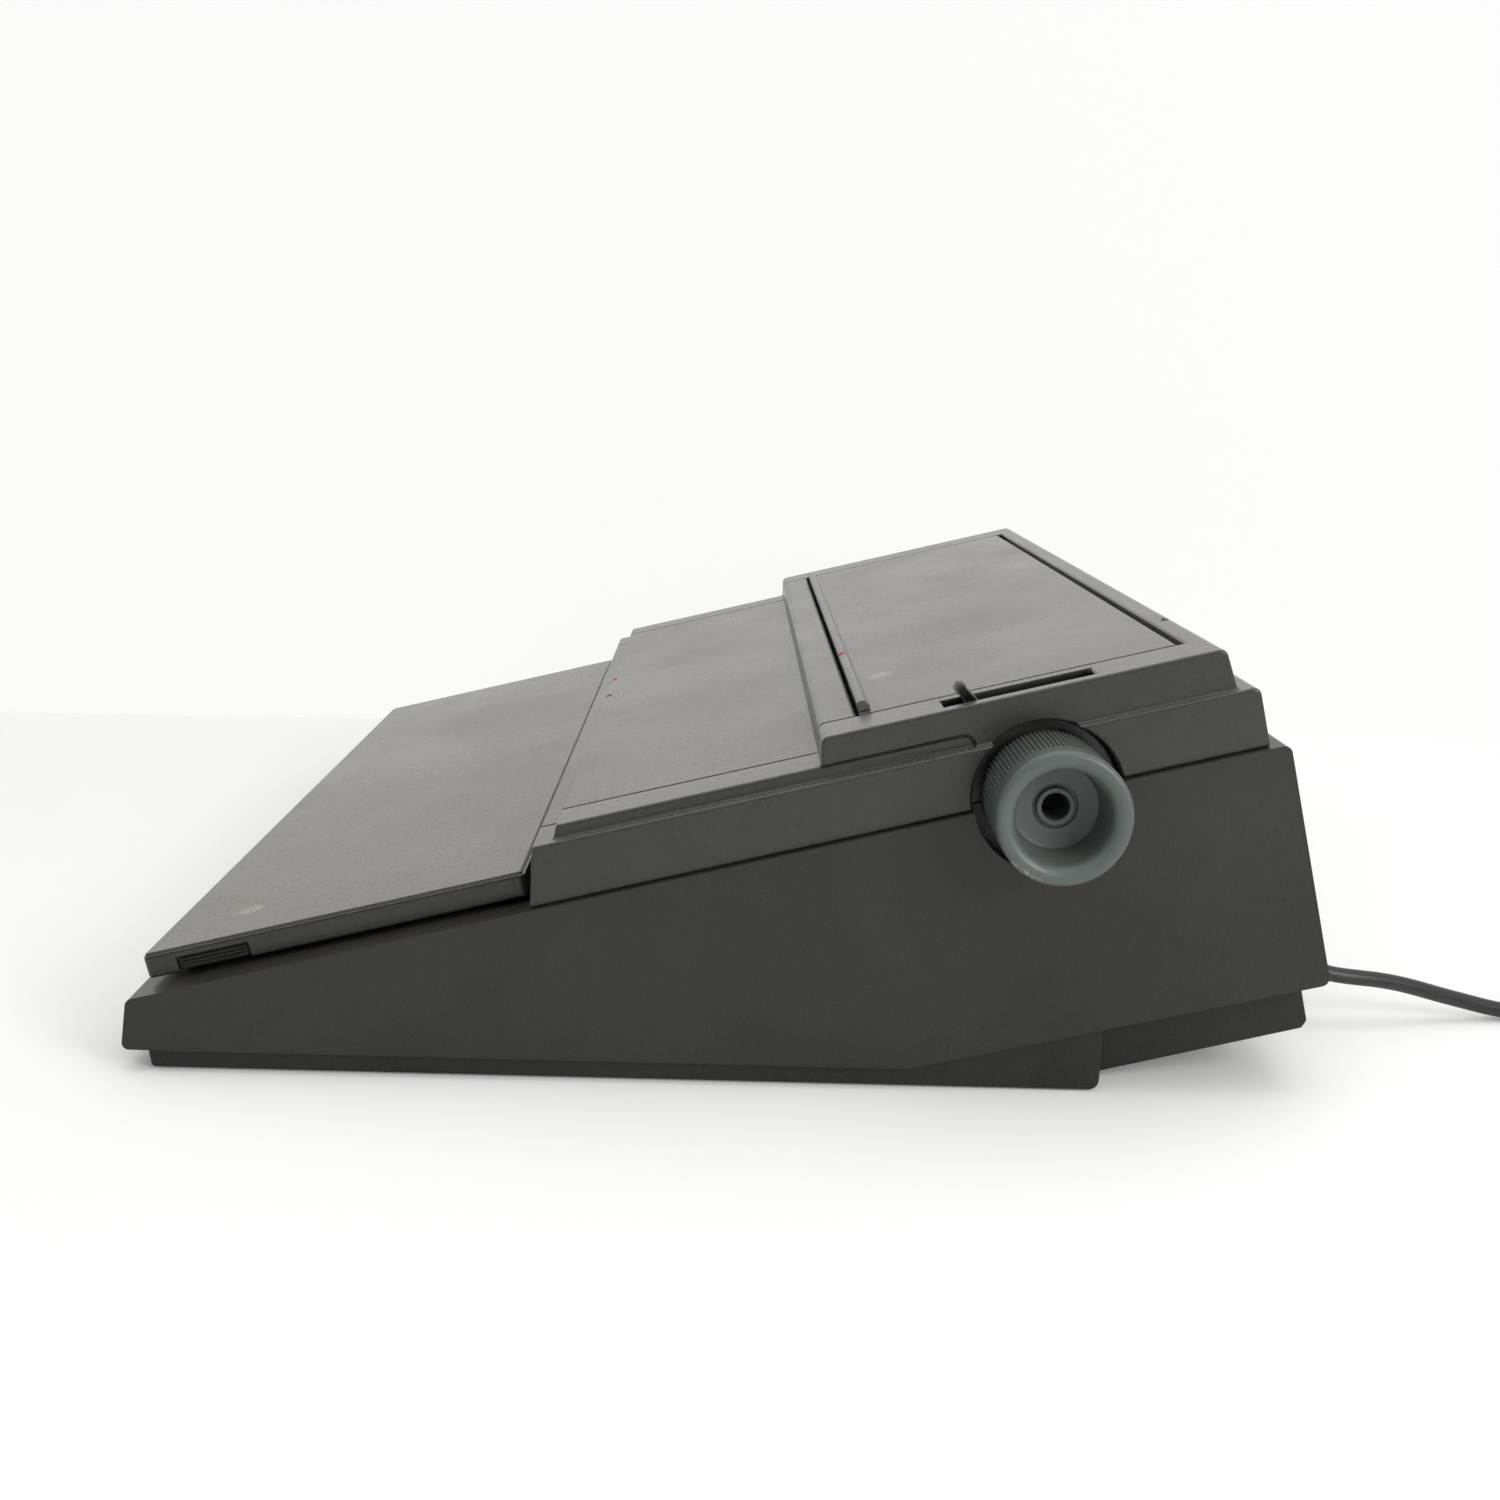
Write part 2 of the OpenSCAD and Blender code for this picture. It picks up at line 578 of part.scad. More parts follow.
foot_places = [[0, 0], for (x = [-1, 1], y = [-154, 95]) [x*(half - 10), y]];
foot_stem_r = 3;
module rubber_feet() color(black) for (f = foot_places) translate([f[0], f[1], 0]) {
  rotate_extrude() polygon([[0, 0], [foot_r - 0.3, 0], [foot_r, 0.3], [foot_r, foot_h], [0, foot_h]]);
  translate([0, 0, foot_h - e]) cylinder(r = foot_stem_r, h = wall + 2*e);
  translate([0, 0, foot_h + wall]) cylinder(r1 = foot_stem_r + 0.7, r2 = foot_stem_r - 0.4, h = 1.4);
}

screw_z = pan_z + 0.5;
screw_head_r = 3.2;
module case_screws() color(steel) difference() {
  union() {
    case_posts(screw_head_r, screw_z, 2.2);
    case_posts(screw_r, screw_z + 2, post_z - screw_z + 8);
  }
  for (x = [-post_x, post_x], y = post_y, a = [0, 90]) translate([x, y, screw_z]) rotate(a)
    translate([-2, -0.4, -1]) cube([4, 0.8, 2]);
}

// Mains lead
gland_dip = 16;
gland_n = -19.4;
gland_at = [146.5, each world(rear_pan_back, gland_n)];
gland_r = 4;
gland_len = 24;
gland_dir = [0, cos(gland_dip), -sin(gland_dip)];
// Hand-set points of the loose stretch, from the strain relief to the coil
lead_loose = [
  [146.4, 210, 17.9], [145.7, 216, 17.1], [144.6, 222, 16.2], [143.4, 228, 15], [142.3, 234, 13.5],
  [141, 240, 11.7], [139.9, 246, 9.85], [138.7, 252, 8.1], [137.6, 258, 6.4], [136.8, 264, 4.8],
  [136.2, 270, 3.55], [136, 276, 2.9], [136.4, 282, 2.7], [137.8, 290, 2.7], [140.4, 298, 2.7],
  [143.2, 306, 2.7], [145, 314, 2.7]];
coil_turns = 8.25;
layer_turns = 1.75;
climb_turns = 0.5;
coil_start = [145.5, 322, lead_d/2];
coil_centre = coil_start + [coil_in + 2*turn_pitch, 0, 0];
lead_steps = 8;

module along_lead(z) translate(gland_at) rotate([-90 - gland_dip, 0, 0]) translate([0, 0, z]) children();
sleeve_tip_r = lead_d/2 + 0.9;
function sleeve_r(z) = gland_r + (sleeve_tip_r - gland_r)*max(z - 3, 0)/(gland_len - 3);
module strain_relief() color(black) {
  // Tapering sleeve with grooves that let it bend
  along_lead(0) rotate_extrude() polygon(concat(
    [[0, -7], [gland_r, -7], [gland_r, 3]],
    [for (k = [0:4]) let (z = 7 + k*3.2) each [
      [sleeve_r(z), z], [sleeve_r(z) - 0.7, z + 0.3], [sleeve_r(z + 1.5) - 0.7, z + 1.2], [sleeve_r(z + 1.5), z + 1.5]]],
    [[sleeve_tip_r, gland_len], [0, gland_len]]));
  // Flanges on both faces of the wall
  sloped() for (s = [rear_pan_back, rear_pan_back - wall - 1.2])
    block([gland_at[0] - 6.2, s, gland_n - 4.6], [gland_at[0] + 6.2, s + 1.2, gland_n + 5.6]);
}

// A smooth curve through points, by Catmull-Rom pieces
function spline(p, i, t) = let (
    a = p[max(i - 1, 0)], b = p[i], c = p[i + 1], d = p[min(i + 2, len(p) - 1)],
    u = i == 0 ? c - b : (c - a)/2, v = i + 2 > len(p) - 1 ? c - b : (d - b)/2)
  b*(2*t^3 - 3*t^2 + 1) + u*(t^3 - 2*t^2 + t) + c*(3*t^2 - 2*t^3) + v*(t^3 - t^2);
// Sweep a round section along points, with flat ends, as one closed surface
module tube(path, r, sides) {
  k = len(path);
  dir = [for (i = [0:k - 1]) unit(path[min(i + 1, k - 1)] - path[max(i - 1, 0)])];
  rings = [for (i = [0:k - 1]) let (side = unit(cross(dir[i], [0, 0, 1])), up = cross(side, dir[i]))
    for (j = [0:sides - 1]) path[i] + r*(side*cos(j*360/sides) + up*sin(j*360/sides))];
  faces = [
    [for (j = [0:sides - 1]) j],
    for (i = [0:k - 2], j = [0:sides - 1]) let (a = i*sides + j, b = i*sides + (j + 1)%sides)
      each [[a, a + sides, b], [b, a + sides, b + sides]],
    [for (j = [sides - 1:-1:0]) (k - 1)*sides + j]];
  polyhedron(rings, faces);
}
lead_end = gland_at + gland_dir*gland_len;
lead_knots = [lead_end, lead_end + gland_dir*3, each lead_loose, coil_start - [0, 1.5, 0]];
lead_path = [for (i = [0:len(lead_knots) - 2], k = [0, 1]) spline(lead_knots, i, k/2), coil_start - [0, 1.5, 0], coil_start];
module mains_lead() color(black) tube(lead_path, lead_d/2, lead_steps);

// Height of the coil's strand after t turns: it climbs a layer in each half turn round a reversal
reversals = [for (k = [0:2]) layer_turns + climb_turns/2 + k*(layer_turns + climb_turns)];
function smooth(x) = let (y = min(max(x, 0), 1)) y*y*(3 - 2*y);
function layers_up(t) = smooth((t - reversals[0])/climb_turns + 0.5) + smooth((t - reversals[1])/climb_turns + 0.5)
  + smooth((t - reversals[2])/climb_turns + 0.5);
// Radius: inwards to the first reversal, and then out and in again
function coil_radius(t) = let (u = abs(t - reversals[0]), span = layer_turns + climb_turns)
  coil_in + turn_pitch*(u <= span ? u : abs(2*span - u));
function coil_point(t) = coil_centre + [0, 1.2, 0] + coil_radius(t)*[-cos(360*t), sin(360*t), 0] + [0, 0, turn_pitch*layers_up(t)];
tail_len = 70;
plug_z = 7.2;
coil_end = coil_point(coil_turns);
// The tail leaves the coil's top along X and comes down to the plug
function tail_point(u) = coil_end + [tail_len*u, 0, (plug_z - coil_end[2])*smooth((u - 0.28)/0.7)];
coil_path = [
  coil_start, coil_start + [0, 1.2, 0], for (i = [1:round(coil_turns*24)]) coil_point(i/24),
  for (i = [1:14]) tail_point(i/14), coil_end + [tail_len + lead_d, 0, plug_z - coil_end[2]]];
module mains_coil() color(black) tube(coil_path, lead_d/2, 6);
coil_gap = min([for (i = [0:len(coil_path) - 1], j = [i + 12:1:len(coil_path) - 1]) norm(coil_path[i] - coil_path[j])]) - lead_d;
echo(coil_least_gap = coil_gap, coil_points = len(coil_path));
echo(coil_length = len_of(coil_path), lead_length = len_of(lead_path));
function len_of(p, i = 0) = sum([for (k = [0:len(p) - 2]) norm(p[k + 1] - p[k])]);
function sum(v) = v*[for (x = v) 1];

plug_at = coil_end + [tail_len + lead_d, 0, plug_z - coil_end[2]];
module mains_plug() color(black) translate(plug_at) {
  // Flat two-pin body: a tapered grip and a wider front
  translate([0, 0, 0]) rotate([0, 90, 0]) cylinder(r = 4.2, h = 7);
  hull() {
    translate([6, -5, -4.5]) cube([1, 10, 9]);
    translate([24, -12.5, -6.7]) cube([1, 25, 13.4]);
  }
  translate([24, -17.5, -6.9]) cube([11, 35, 13.8]);
  for (y = [-9.5, 9.5]) translate([35 - e, y, 0]) rotate([0, 90, 0]) cylinder(r = 2, h = 19);
}

// Power
switch_x = -half + 136;
switch_n = 26;
module power_switch() color(black) sloped() difference() {
  union() {
    block([switch_x - 6.5, shell_rear - 22, switch_n - 9.5], [switch_x + 6.5, shell_rear + e, switch_n + 9.5]);
    block([switch_x - 8, shell_rear, switch_n - 11], [switch_x + 8, shell_rear + 1.5, switch_n + 11]);
  }
  block([switch_x - 5, shell_rear - 9, switch_n - 8.4], [switch_x + 5, shell_rear + 2, switch_n + 8.4]);
  rod(1.5 + fit, switch_x - 5.8, switch_x + 5.8, shell_rear - 2.5, switch_n);
}
module power_rocker() color(dark) sloped() {
  translate([switch_x, 0, 0]) across(9.4) polygon([
    [shell_rear - 5, switch_n - 4], [shell_rear + 0.4, switch_n - 6.6], [shell_rear + 1.1, switch_n],
    [shell_rear + 2.7, switch_n + 6.4], [shell_rear - 5, switch_n + 4]]);
  rod(1.5, switch_x - 5.6, switch_x + 5.6, shell_rear - 2.5, switch_n);
}

transformer_x = [-half + 61, -half + 116];
transformer_s = [rear_pan_back - 46.4, rear_pan_back - 8.4];
module transformer() color(steel) sloped() {
  n0 = rear_floor_n;
  block([transformer_x[0], transformer_s[0], n0], [transformer_x[1], transformer_s[1], n0 + 8]);
  block([transformer_x[0] + 6, transformer_s[0] + 3, n0 + 8 - e], [transformer_x[1] - 6, transformer_s[1] - 3, n0 + 42]);
  block([transformer_x[0] + 12, transformer_s[0], n0 + 10], [transformer_x[1] - 12, transformer_s[1], n0 + 36]);
}

main_board_n = rear_floor_n + 6;
main_board_x = [-half + 149, half - 76];
main_board_s = [pan_step_y + 1.5, rear_pan_back - 6.4];
main_board_mid = (main_board_x[0] + main_board_x[1])/2;
board_posts = [for (x = [main_board_x[0] + 7, main_board_mid + 1.5, main_board_x[1] - 7],
  s = [main_board_s[0] + 6, main_board_s[1] - 6]) [x, s]];
module main_board() color(board_green) sloped() {
  plate([main_board_x[0], main_board_s[0]], [main_board_x[1], main_board_s[1]], main_board_n, main_board_n + 1.6, 2);
  // Processor, memory, capacitors and connectors soldered on
  middle = main_board_mid;
  front = main_board_s[0];
  block([middle - 56.5, front + 14, main_board_n + 1.5], [middle - 6.5, front + 28, main_board_n + 5]);
  block([middle + 7.5, front + 16, main_board_n + 1.5], [middle + 43.5, front + 30, main_board_n + 5]);
  for (x = [-84.5, 53.5, 67.5, 81.5]) translate([middle + x, front + 40, main_board_n + 1.5]) cylinder(r = 5, h = 16);
  block([middle - 36.5, main_board_s[1] - 8, main_board_n + 1.5], [middle + 23.5, main_board_s[1] - 2, main_board_n + 9]);
}

// Platen and line feed
module platen_roller() color(black) sloped() difference() {
  rod(platen_r, -platen_half, platen_half, platen_s, platen_n);
  rod(shaft_r + seat, -platen_half - 1, platen_half + 1, platen_s, platen_n);
}
module platen_shaft() color(steel) sloped()
  rod(shaft_r, -gear_x - gear_t - gap, hub_x - 11.5, platen_s, platen_n);
module platen_gear() color("ivory") sloped() translate([-gear_x - gear_t, platen_s, platen_n]) rotate([0, 90, 0])
  difference() {
    gear(gear_module, platen_teeth, gear_t);
    translate([0, 0, -1]) cylinder(r = shaft_r + seat, h = gear_t + 2);
    for (a = [0:60:300]) rotate(a + 30) translate([14, 0, -1]) cylinder(r = 4, h = gear_t + 2);
  }
// A bearing bush of the platen's shaft, with a flange against the side frame
module bush(x0, x1, flange) difference() {
  union() {
    rod(bush_r, x0, x1, platen_s, platen_n);
    rod(bush_r + 2, flange, flange + 1.5, platen_s, platen_n);
  }
  rod(shaft_r + fit, x0 - 1, x1 + 1, platen_s, platen_n);
}
module platen_bushes() color("ivory") sloped() {
  bush(frame_x - 1.5, well_floor_x - gap, frame_x - 1.5);
  bush(-frame_out - 2, -frame_x + 1.5, -frame_x);
}
module platen_knob() color(grey) sloped() translate([0, platen_s, platen_n]) rotate([90, 0, 90]) difference() {
  lip_x = knob_x - 9;
  union() {
    // Ribbed barrel
    translate([0, 0, knob_back_x]) linear_extrude(lip_x - knob_back_x + e)
      polygon([for (i = [0:knob_ribs - 1]) each [
        (knob_r - 0.7)*[cos(i*360/knob_ribs), sin(i*360/knob_ribs)],
        (knob_r - 0.1)*[cos((i + 0.5)*360/knob_ribs), sin((i + 0.5)*360/knob_ribs)]]]);
    // Smooth rounded lip
    translate([0, 0, lip_x]) rotate_extrude($fn = 96) polygon([
      [0, 0], [knob_r, 0], each corner([knob_r, 0], [knob_r, 9], [0, 9], 2.4), [0, 9]]);
  }
  // Hollow of the knob with its rounded mouth
  translate([0, 0, hub_x]) rotate_extrude($fn = 96) polygon([
    [0, 0], [12.6, 0], [13.3, knob_x - hub_x - 2.6], each arc(2.6, 180, 90, 5, [15.9, knob_x - hub_x - 2.6]), [15.9, 99], [0, 99]]);
  translate([0, 0, knob_back_x - 1]) cylinder(r = shaft_r + seat, h = far);
  // Groove round the collar
  translate([0, 0, hub_x - 1]) difference() {
    cylinder(r = 6.6, h = 3);
    translate([0, 0, -1]) cylinder(r = 5.4, h = 6);
  }
}

feed_boss_r = 6;
module feed_motor() color(steel) sloped() {
  rod(20, -frame_x, -frame_x + 15.5, feed_at[0], feed_at[1]);
  rod(feed_boss_r, -frame_out - 0.5, -frame_x + e, feed_at[0], feed_at[1]);
}
// Turn of the pinion that puts a gap between its teeth where the platen gear has a tooth
mesh_angle = 90 + feed_angle;
feed_turn = mesh_angle + 180 - 180/feed_teeth + mesh_angle%(360/platen_teeth)*platen_teeth/feed_teeth;
module feed_pinion() color("goldenrod") sloped() {
  translate([-gear_x - gear_t, feed_at[0], feed_at[1]]) rotate([0, 90, 0])
    gear(gear_module, feed_teeth, gear_t, feed_turn);
  rod(2.5, -gear_x - e, -frame_out - 0.5 - gap, feed_at[0], feed_at[1]);
}

pressure_x = [-120, -40, 40, 120];
pressure_len = 30;
module pressure_rollers() color(black) sloped() for (x = pressure_x) difference() {
  rod(pressure_r, x - pressure_len/2, x + pressure_len/2, pressure_at[0], pressure_at[1]);
  rod(pressure_shaft_r + fit, x - pressure_len, x + pressure_len, pressure_at[0], pressure_at[1]);
}
module pressure_carrier() color(steel) sloped() {
  beam_half = platen_half - 6;
  arm_x = [-150, -80, 0, 80, 150];
  block([-beam_half, carrier_pivot[0] - 6, carrier_pivot[1] - 6], [beam_half, carrier_pivot[0] + 6, carrier_pivot[1] + 5]);
  both() rod(pivot_r, beam_half - e, frame_out, carrier_pivot[0], carrier_pivot[1]);
  for (x = arm_x) translate([x, 0, 0]) across(4) polygon([
    [carrier_pivot[0] - 5, carrier_pivot[1] - 5], [carrier_pivot[0] - 5, carrier_pivot[1] + 4],
    [pressure_at[0] + 1, pressure_at[1] + 3], [pressure_at[0] - 3, pressure_at[1]], [pressure_at[0], pressure_at[1] - 3.5]]);
  rod(pressure_shaft_r, -152, 152, pressure_at[0], pressure_at[1]);
}

chute_r = platen_r + 1.8;
chute_t = 1.5;
chute_half = platen_half - 3;
module paper_chute() color(dark) sloped() {
  c = [platen_s, platen_n];
  top_in = [support_rear + paper_slot + 0.2, support_n - 1];
  bend_in = [top_in[0] - 0.4, support_n - 9.3];
  difference() {
    across(2*chute_half) polygon([
      each arc(chute_r, -165, 12, 30, c), bend_in, top_in, top_in + [1.4, 0], bend_in + [1.5, -1.1],
      each arc(chute_r + chute_t, 12, -165, 30, c)]);
    for (x = pressure_x) block([x - pressure_len/2 - 2, platen_s - 15, platen_n - 30], [x + pressure_len/2 + 2, platen_s + 4.6, platen_n - 13.5]);
  }
  // End brackets that hold the chute to the side frames
  both() block([chute_half - e, platen_s - chute_r - 1.6, platen_n - 13], [frame_x, platen_s - chute_r + 1, platen_n - 5]);
  both() translate([chute_half - 2, 0, 0]) across(4) polygon([
    c + [chute_r + 0.6, 4.4], c + [chute_r + 9, 6], c + [chute_r + 9, 10.2], c + [chute_r + 3, 6.5]]);
}

module paper_bail() color(steel) sloped() {
  arm_x = platen_half + 1;
  rod(bail_r, -arm_x - 1, arm_x + 1, bail_at[0], bail_at[1]);
  both() {
    translate([arm_x + 1, 0, 0]) across(2) polygon([
      bail_pivot + [-4, -3], bail_pivot + [4, -3], bail_pivot + [3.4, 6], bail_at + [3, 1], bail_at + [1, 3], bail_at + [-3, 1],
      bail_pivot + [-4, 6]]);
    rod(pivot_r, arm_x + e, frame_out, bail_pivot[0], bail_pivot[1]);
  }
}
bail_x = [-105, -35, 35, 105];
module bail_rollers() color(black) sloped() for (x = bail_x) difference() {
  rod(bail_roller_r, x - 7, x + 7, bail_at[0], bail_at[1]);
  rod(bail_r + fit, x - 8, x + 8, bail_at[0], bail_at[1]);
}

lever_lean = 27;
lever_reach = 38.8;
module release_lever() color(black) sloped() {
  c = [platen_s, platen_n];
  up = [-sin(lever_lean), cos(lever_lean)];
  side = [cos(lever_lean), sin(lever_lean)];
  head_in = lever_reach - 4.4;
  difference() {
    union() {
      rod(bush_r + 4, lever_x[0], lever_x[1], c[0], c[1]);
      translate([(lever_x[0] + lever_x[1])/2, 0, 0]) across(lever_x[1] - lever_x[0]) polygon([
        c + side*4.5, c - side*4.5, c + up*(head_in + 2) - side*1.7, c + up*(head_in + 2) + side*1.7]);
      // Finger tip, rounded and ribbed
      translate([(lever_x[0] + lever_x[1])/2, 0, 0]) across(8.4) polygon(concat(
        [for (a = [0:20:180]) c + up*(head_in + 4.4) + 1.7*(side*cos(a) + up*sin(a))],
        [c + up*head_in - side*1.9, c + up*head_in + side*1.9]));
    }
    rod(bush_r + fit, lever_x[0] - 1, lever_x[1] + 1, c[0], c[1]);
    // Pocket in the tip's outer face
    translate([(lever_x[0] + lever_x[1])/2 + 4, 0, 0]) across(4.4) polygon([
      c + up*(head_in - 1) - side, c + up*(head_in - 1) + side, c + up*(head_in + 4.4) + side,
      c + up*(head_in + 4.4) - side]);
  }
}

floor_break = (pan_floor - rear_floor_n*cos(slope))/sin(slope);
frame_profile = [
  [-10, floor_n(-10), 0], [-10, deck_n - 22, 6], [40, deck_n - 8, 6], [70, deck_n + 8, 6], [92, support_n - 6, 4],
  [160, support_n - 10, 6], [170, platen_n - 10, 6], [170, rear_floor_n, 0], [floor_break, rear_floor_n, 0]];
module side_frame() difference() {
  translate([frame_x + frame_t/2, 0, 0]) across(frame_t) polygon(rounded(frame_profile));
  rod(bush_r + seat, frame_x - 1, frame_out + 1, platen_s, platen_n);
  for (s = rod_s) rod(rod_r + seat, frame_x - 1, frame_out + 1, s, rods_n);
  rod(pivot_r + fit, frame_x - 1, frame_out + 1, bail_pivot[0], bail_pivot[1]);
  rod(pivot_r + fit, frame_x - 1, frame_out + 1, carrier_pivot[0], carrier_pivot[1]);
  // Lightening holes
  for (h = [[50, 24, 9], [96, 12, 10], [150, 20, 10]]) rod(h[2], frame_x - 1, frame_out + 1, h[0], h[1]);
}
module side_frame_right() color(steel) sloped() {
  side_frame();
  // Shelf that the carriage motor hangs from
  block([pulley_x - 18, belt_s - 14, motor_top], [frame_x + e, belt_s + 14, motor_top + 2]);
}
module side_frame_left() color(steel) sloped() difference() {
  mirror([1, 0, 0]) side_frame();
  rod(feed_boss_r + seat, -frame_out - 1, -frame_x + 1, feed_at[0], feed_at[1]);
}

// Carriage
module guide_rods() color(steel) sloped() for (s = rod_s) rod(rod_r, -frame_out, frame_out, s, rods_n);

carriage_s = [rod_s[0] - 12, wheel_s - 3.5];
side_top = platen_n + 2.4;
module carriage_frame() color(dark) sloped() {
  x = carriage_half;
  difference() {
    union() {
      block([-x, carriage_s[0], carriage_n], [x, carriage_s[1], carriage_n + carriage_t]);
      // Bearings on the rear rod
      both() block([x - 14, rod_s[1] - 7, rods_n - rod_r - 2.5], [x - 1, rod_s[1] + 7, carriage_n + e]);
      // Shoe on the front rod
      block([-9, rod_s[0] - 5, rods_n + rod_r + gap], [9, rod_s[0] + 5, carriage_n + e]);
      // Side walls that carry the cassette
      both() block([x - 2, carriage_s[0], carriage_n], [x, carriage_s[1], side_top]);
      // Cradle of the print wheel's motor
      block([-wheel_motor_r - 3, wheel_s - 30, carriage_n + carriage_t - e], [wheel_motor_r + 3, wheel_s - 8, wheel_n - 6]);
      // Bridge that carries the hammer coil
      block([-x, wheel_s - 30, hammer_n - 8.2], [x, wheel_s - 12, hammer_n - 6.2]);
      // Clamp on the belt's front run
      block([-8, belt_s - pulley_r - gap - belt_t - 1.7, belt_n - 0.6], [8, belt_s - pulley_r - gap - belt_t - 0.1, carriage_n + e]);
      block([-8, belt_s - pulley_r - gap + 0.1, belt_n - 0.6], [8, belt_s - pulley_r - gap + 1.7, carriage_n + e]);
    }
    rod(rod_r + fit, -far, far, rod_s[1], rods_n);
    translate([0, wheel_s - 40, wheel_n]) rotate([-90, 0, 0]) cylinder(r = wheel_motor_r + seat, h = 60);
  }
  // Spindles for the correction spools
  for (k = [-1, 1]) translate([k*spool_x, spool_s, hammer_n - 8.2]) cylinder(r = spool_pin_r, h = 9);
}

module daisy_wheel() color(black) sloped() translate([0, wheel_s, wheel_n]) rotate([-90, 0, 0]) difference() {
  union() {
    cylinder(r = 13, h = 2);
    translate([0, 0, -2]) cylinder(r = 5, h = 4);
    // Petals as one star with a type slug on each tip
    linear_extrude(1.2) polygon([for (i = [0:petals - 1]) let (a = 90 + i*360/petals, w = 0.34*360/petals, t = 0.2*360/petals)
      each [12*[cos(a - w), sin(a - w)], wheel_r*[cos(a - t), sin(a - t)], wheel_r*[cos(a + t), sin(a + t)], 12*[cos(a + w), sin(a + w)]]]);
  }
  translate([0, 0, -3]) cylinder(r = 2, h = 8);
}
module wheel_motor() color(steel) sloped() translate([0, wheel_s - 30, wheel_n]) rotate([-90, 0, 0]) {
  cylinder(r = wheel_motor_r, h = 24);
  cylinder(r = 2 - fit, h = 31);
}

hammer_n = platen_n - 3.7;
hammer_tip = wheel_s - 0.5 - hammer_travel;
module hammer_coil() color("#7a4a2a") sloped() difference() {
  union() {
    block([-6, wheel_s - 32, hammer_n - 6.2], [6, wheel_s - 12, hammer_n + 6]);
  }
  translate([0, wheel_s - 33, hammer_n]) rotate([-90, 0, 0]) cylinder(r = 2 + fit, h = 30);
}
module print_hammer() color(steel) sloped() {
  translate([0, wheel_s - 36, hammer_n]) rotate([-90, 0, 0]) cylinder(r = 2, h = hammer_tip - wheel_s + 36 - 2);
  block([-1, hammer_tip - 3, hammer_n - 1.6], [1, hammer_tip, hammer_n + 5.2]);
  translate([0, wheel_s - 38, hammer_n]) rotate([-90, 0, 0]) cylinder(r = 3.6, h = 2);
}

spool_x = 20;
spool_pin_r = 2.5;
spool_s = wheel_s - 18;
module spool(k) color("#e6e2d6") sloped() translate([k*spool_x, spool_s, hammer_n - 6.2 + gap]) difference() {
  union() {
    cylinder(r = 12, h = 1);
    cylinder(r = 8.5, h = 6);
    translate([0, 0, 5]) cylinder(r = 12, h = 1);
  }
  translate([0, 0, -1]) cylinder(r = spool_pin_r + fit, h = 9);
}
module correction_spool_left() spool(-1);
module correction_spool_right() spool(1);

cassette_n = [side_top + 0.3, side_top + 12];
module ribbon_cassette() color(black) sloped() {
  plate([-carriage_half - 2, rod_s[0] - 2], [carriage_half + 2, wheel_s - 8.5], cassette_n[0], cassette_n[1], 8);
  // Horns that lead the ribbon to the print point
  both() block([13, wheel_s - 10, cassette_n[0]], [18, wheel_s + 2.6, cassette_n[0] + 6.5]);
  translate([0, rod_s[0] + 9, cassette_n[1] - e]) cylinder(r = 6, h = 2);
  // Ribbon across the print point
  block([-13, wheel_s + 1.9, cassette_n[0] + 0.5], [13, wheel_s + 2.2, cassette_n[0] + 6]);
}

motor_top = 40;
motor_shaft_r = 2;
module carriage_motor() color(steel) sloped() translate([pulley_x, belt_s, 0]) {
  translate([0, 0, 10]) cylinder(r = 18, h = motor_top - 10);
  translate([0, 0, belt_n - 1]) cylinder(r = motor_shaft_r, h = 10);
}
module pulley(bore) difference() {
  union() {
    translate([0, 0, belt_n]) cylinder(r = pulley_r, h = belt_h);
    translate([0, 0, belt_n - 0.9]) cylinder(r = pulley_r + 2.2, h = 0.8);
    translate([0, 0, belt_n - 0.2]) cylinder(r = pulley_r - 1, h = belt_h + 1);
  }
  translate([0, 0, belt_n - 2]) cylinder(r = bore + fit, h = belt_h + 5);
}
module motor_pulley() color("ivory") sloped() translate([pulley_x, belt_s, 0]) pulley(motor_shaft_r);
module idler_pulley() color("ivory") sloped() translate([-pulley_x, belt_s, 0]) pulley(idler_r);
module drive_belt() color(black) sloped() translate([0, belt_s, belt_n + 0.3]) linear_extrude(belt_h - 0.6) difference() {
  belt_outline(pulley_r + gap + belt_t);
  belt_outline(pulley_r + gap);
}
module belt_outline(r) polygon(concat(
  arc(r, -90, 90, 16, [pulley_x, 0]), arc(r, 90, 270, 16, [-pulley_x, 0])));

// Keyboard
module keyboard_plate() color(dark) sloped() {
  difference() {
    union() {
      plate([-key_plate_half, well_front - 1.5], [key_plate_half, well_back + 4], plate_n, plate_n + plate_t, 3);
      both() for (s = [row_s(1) - 6, row_s(4) - 8]) translate([key_plate_half - 6, s, board_n + board_t]) cylinder(r = 3, h = plate_n - board_n - board_t + e);
    }
    for (k = all_keys) translate([k[0]*key_pitch, row_s(k[1]), 0])
      block([-stem/2 - gap, -stem/2 - gap, plate_n - 1], [stem/2 + gap, stem/2 + gap, plate_n + plate_t + 1]);
  }
}
module keyboard_board() color(board_green) sloped() {
  plate([-key_plate_half, well_front - 1.5], [key_plate_half, well_back + 4], board_n, board_n + board_t, 3);
}

stem = 6;
key_top = deck_n + key_h;
key_foot = plate_n + plate_t + key_travel + 1;
stem_foot = board_n + board_t + key_travel + 0.4;
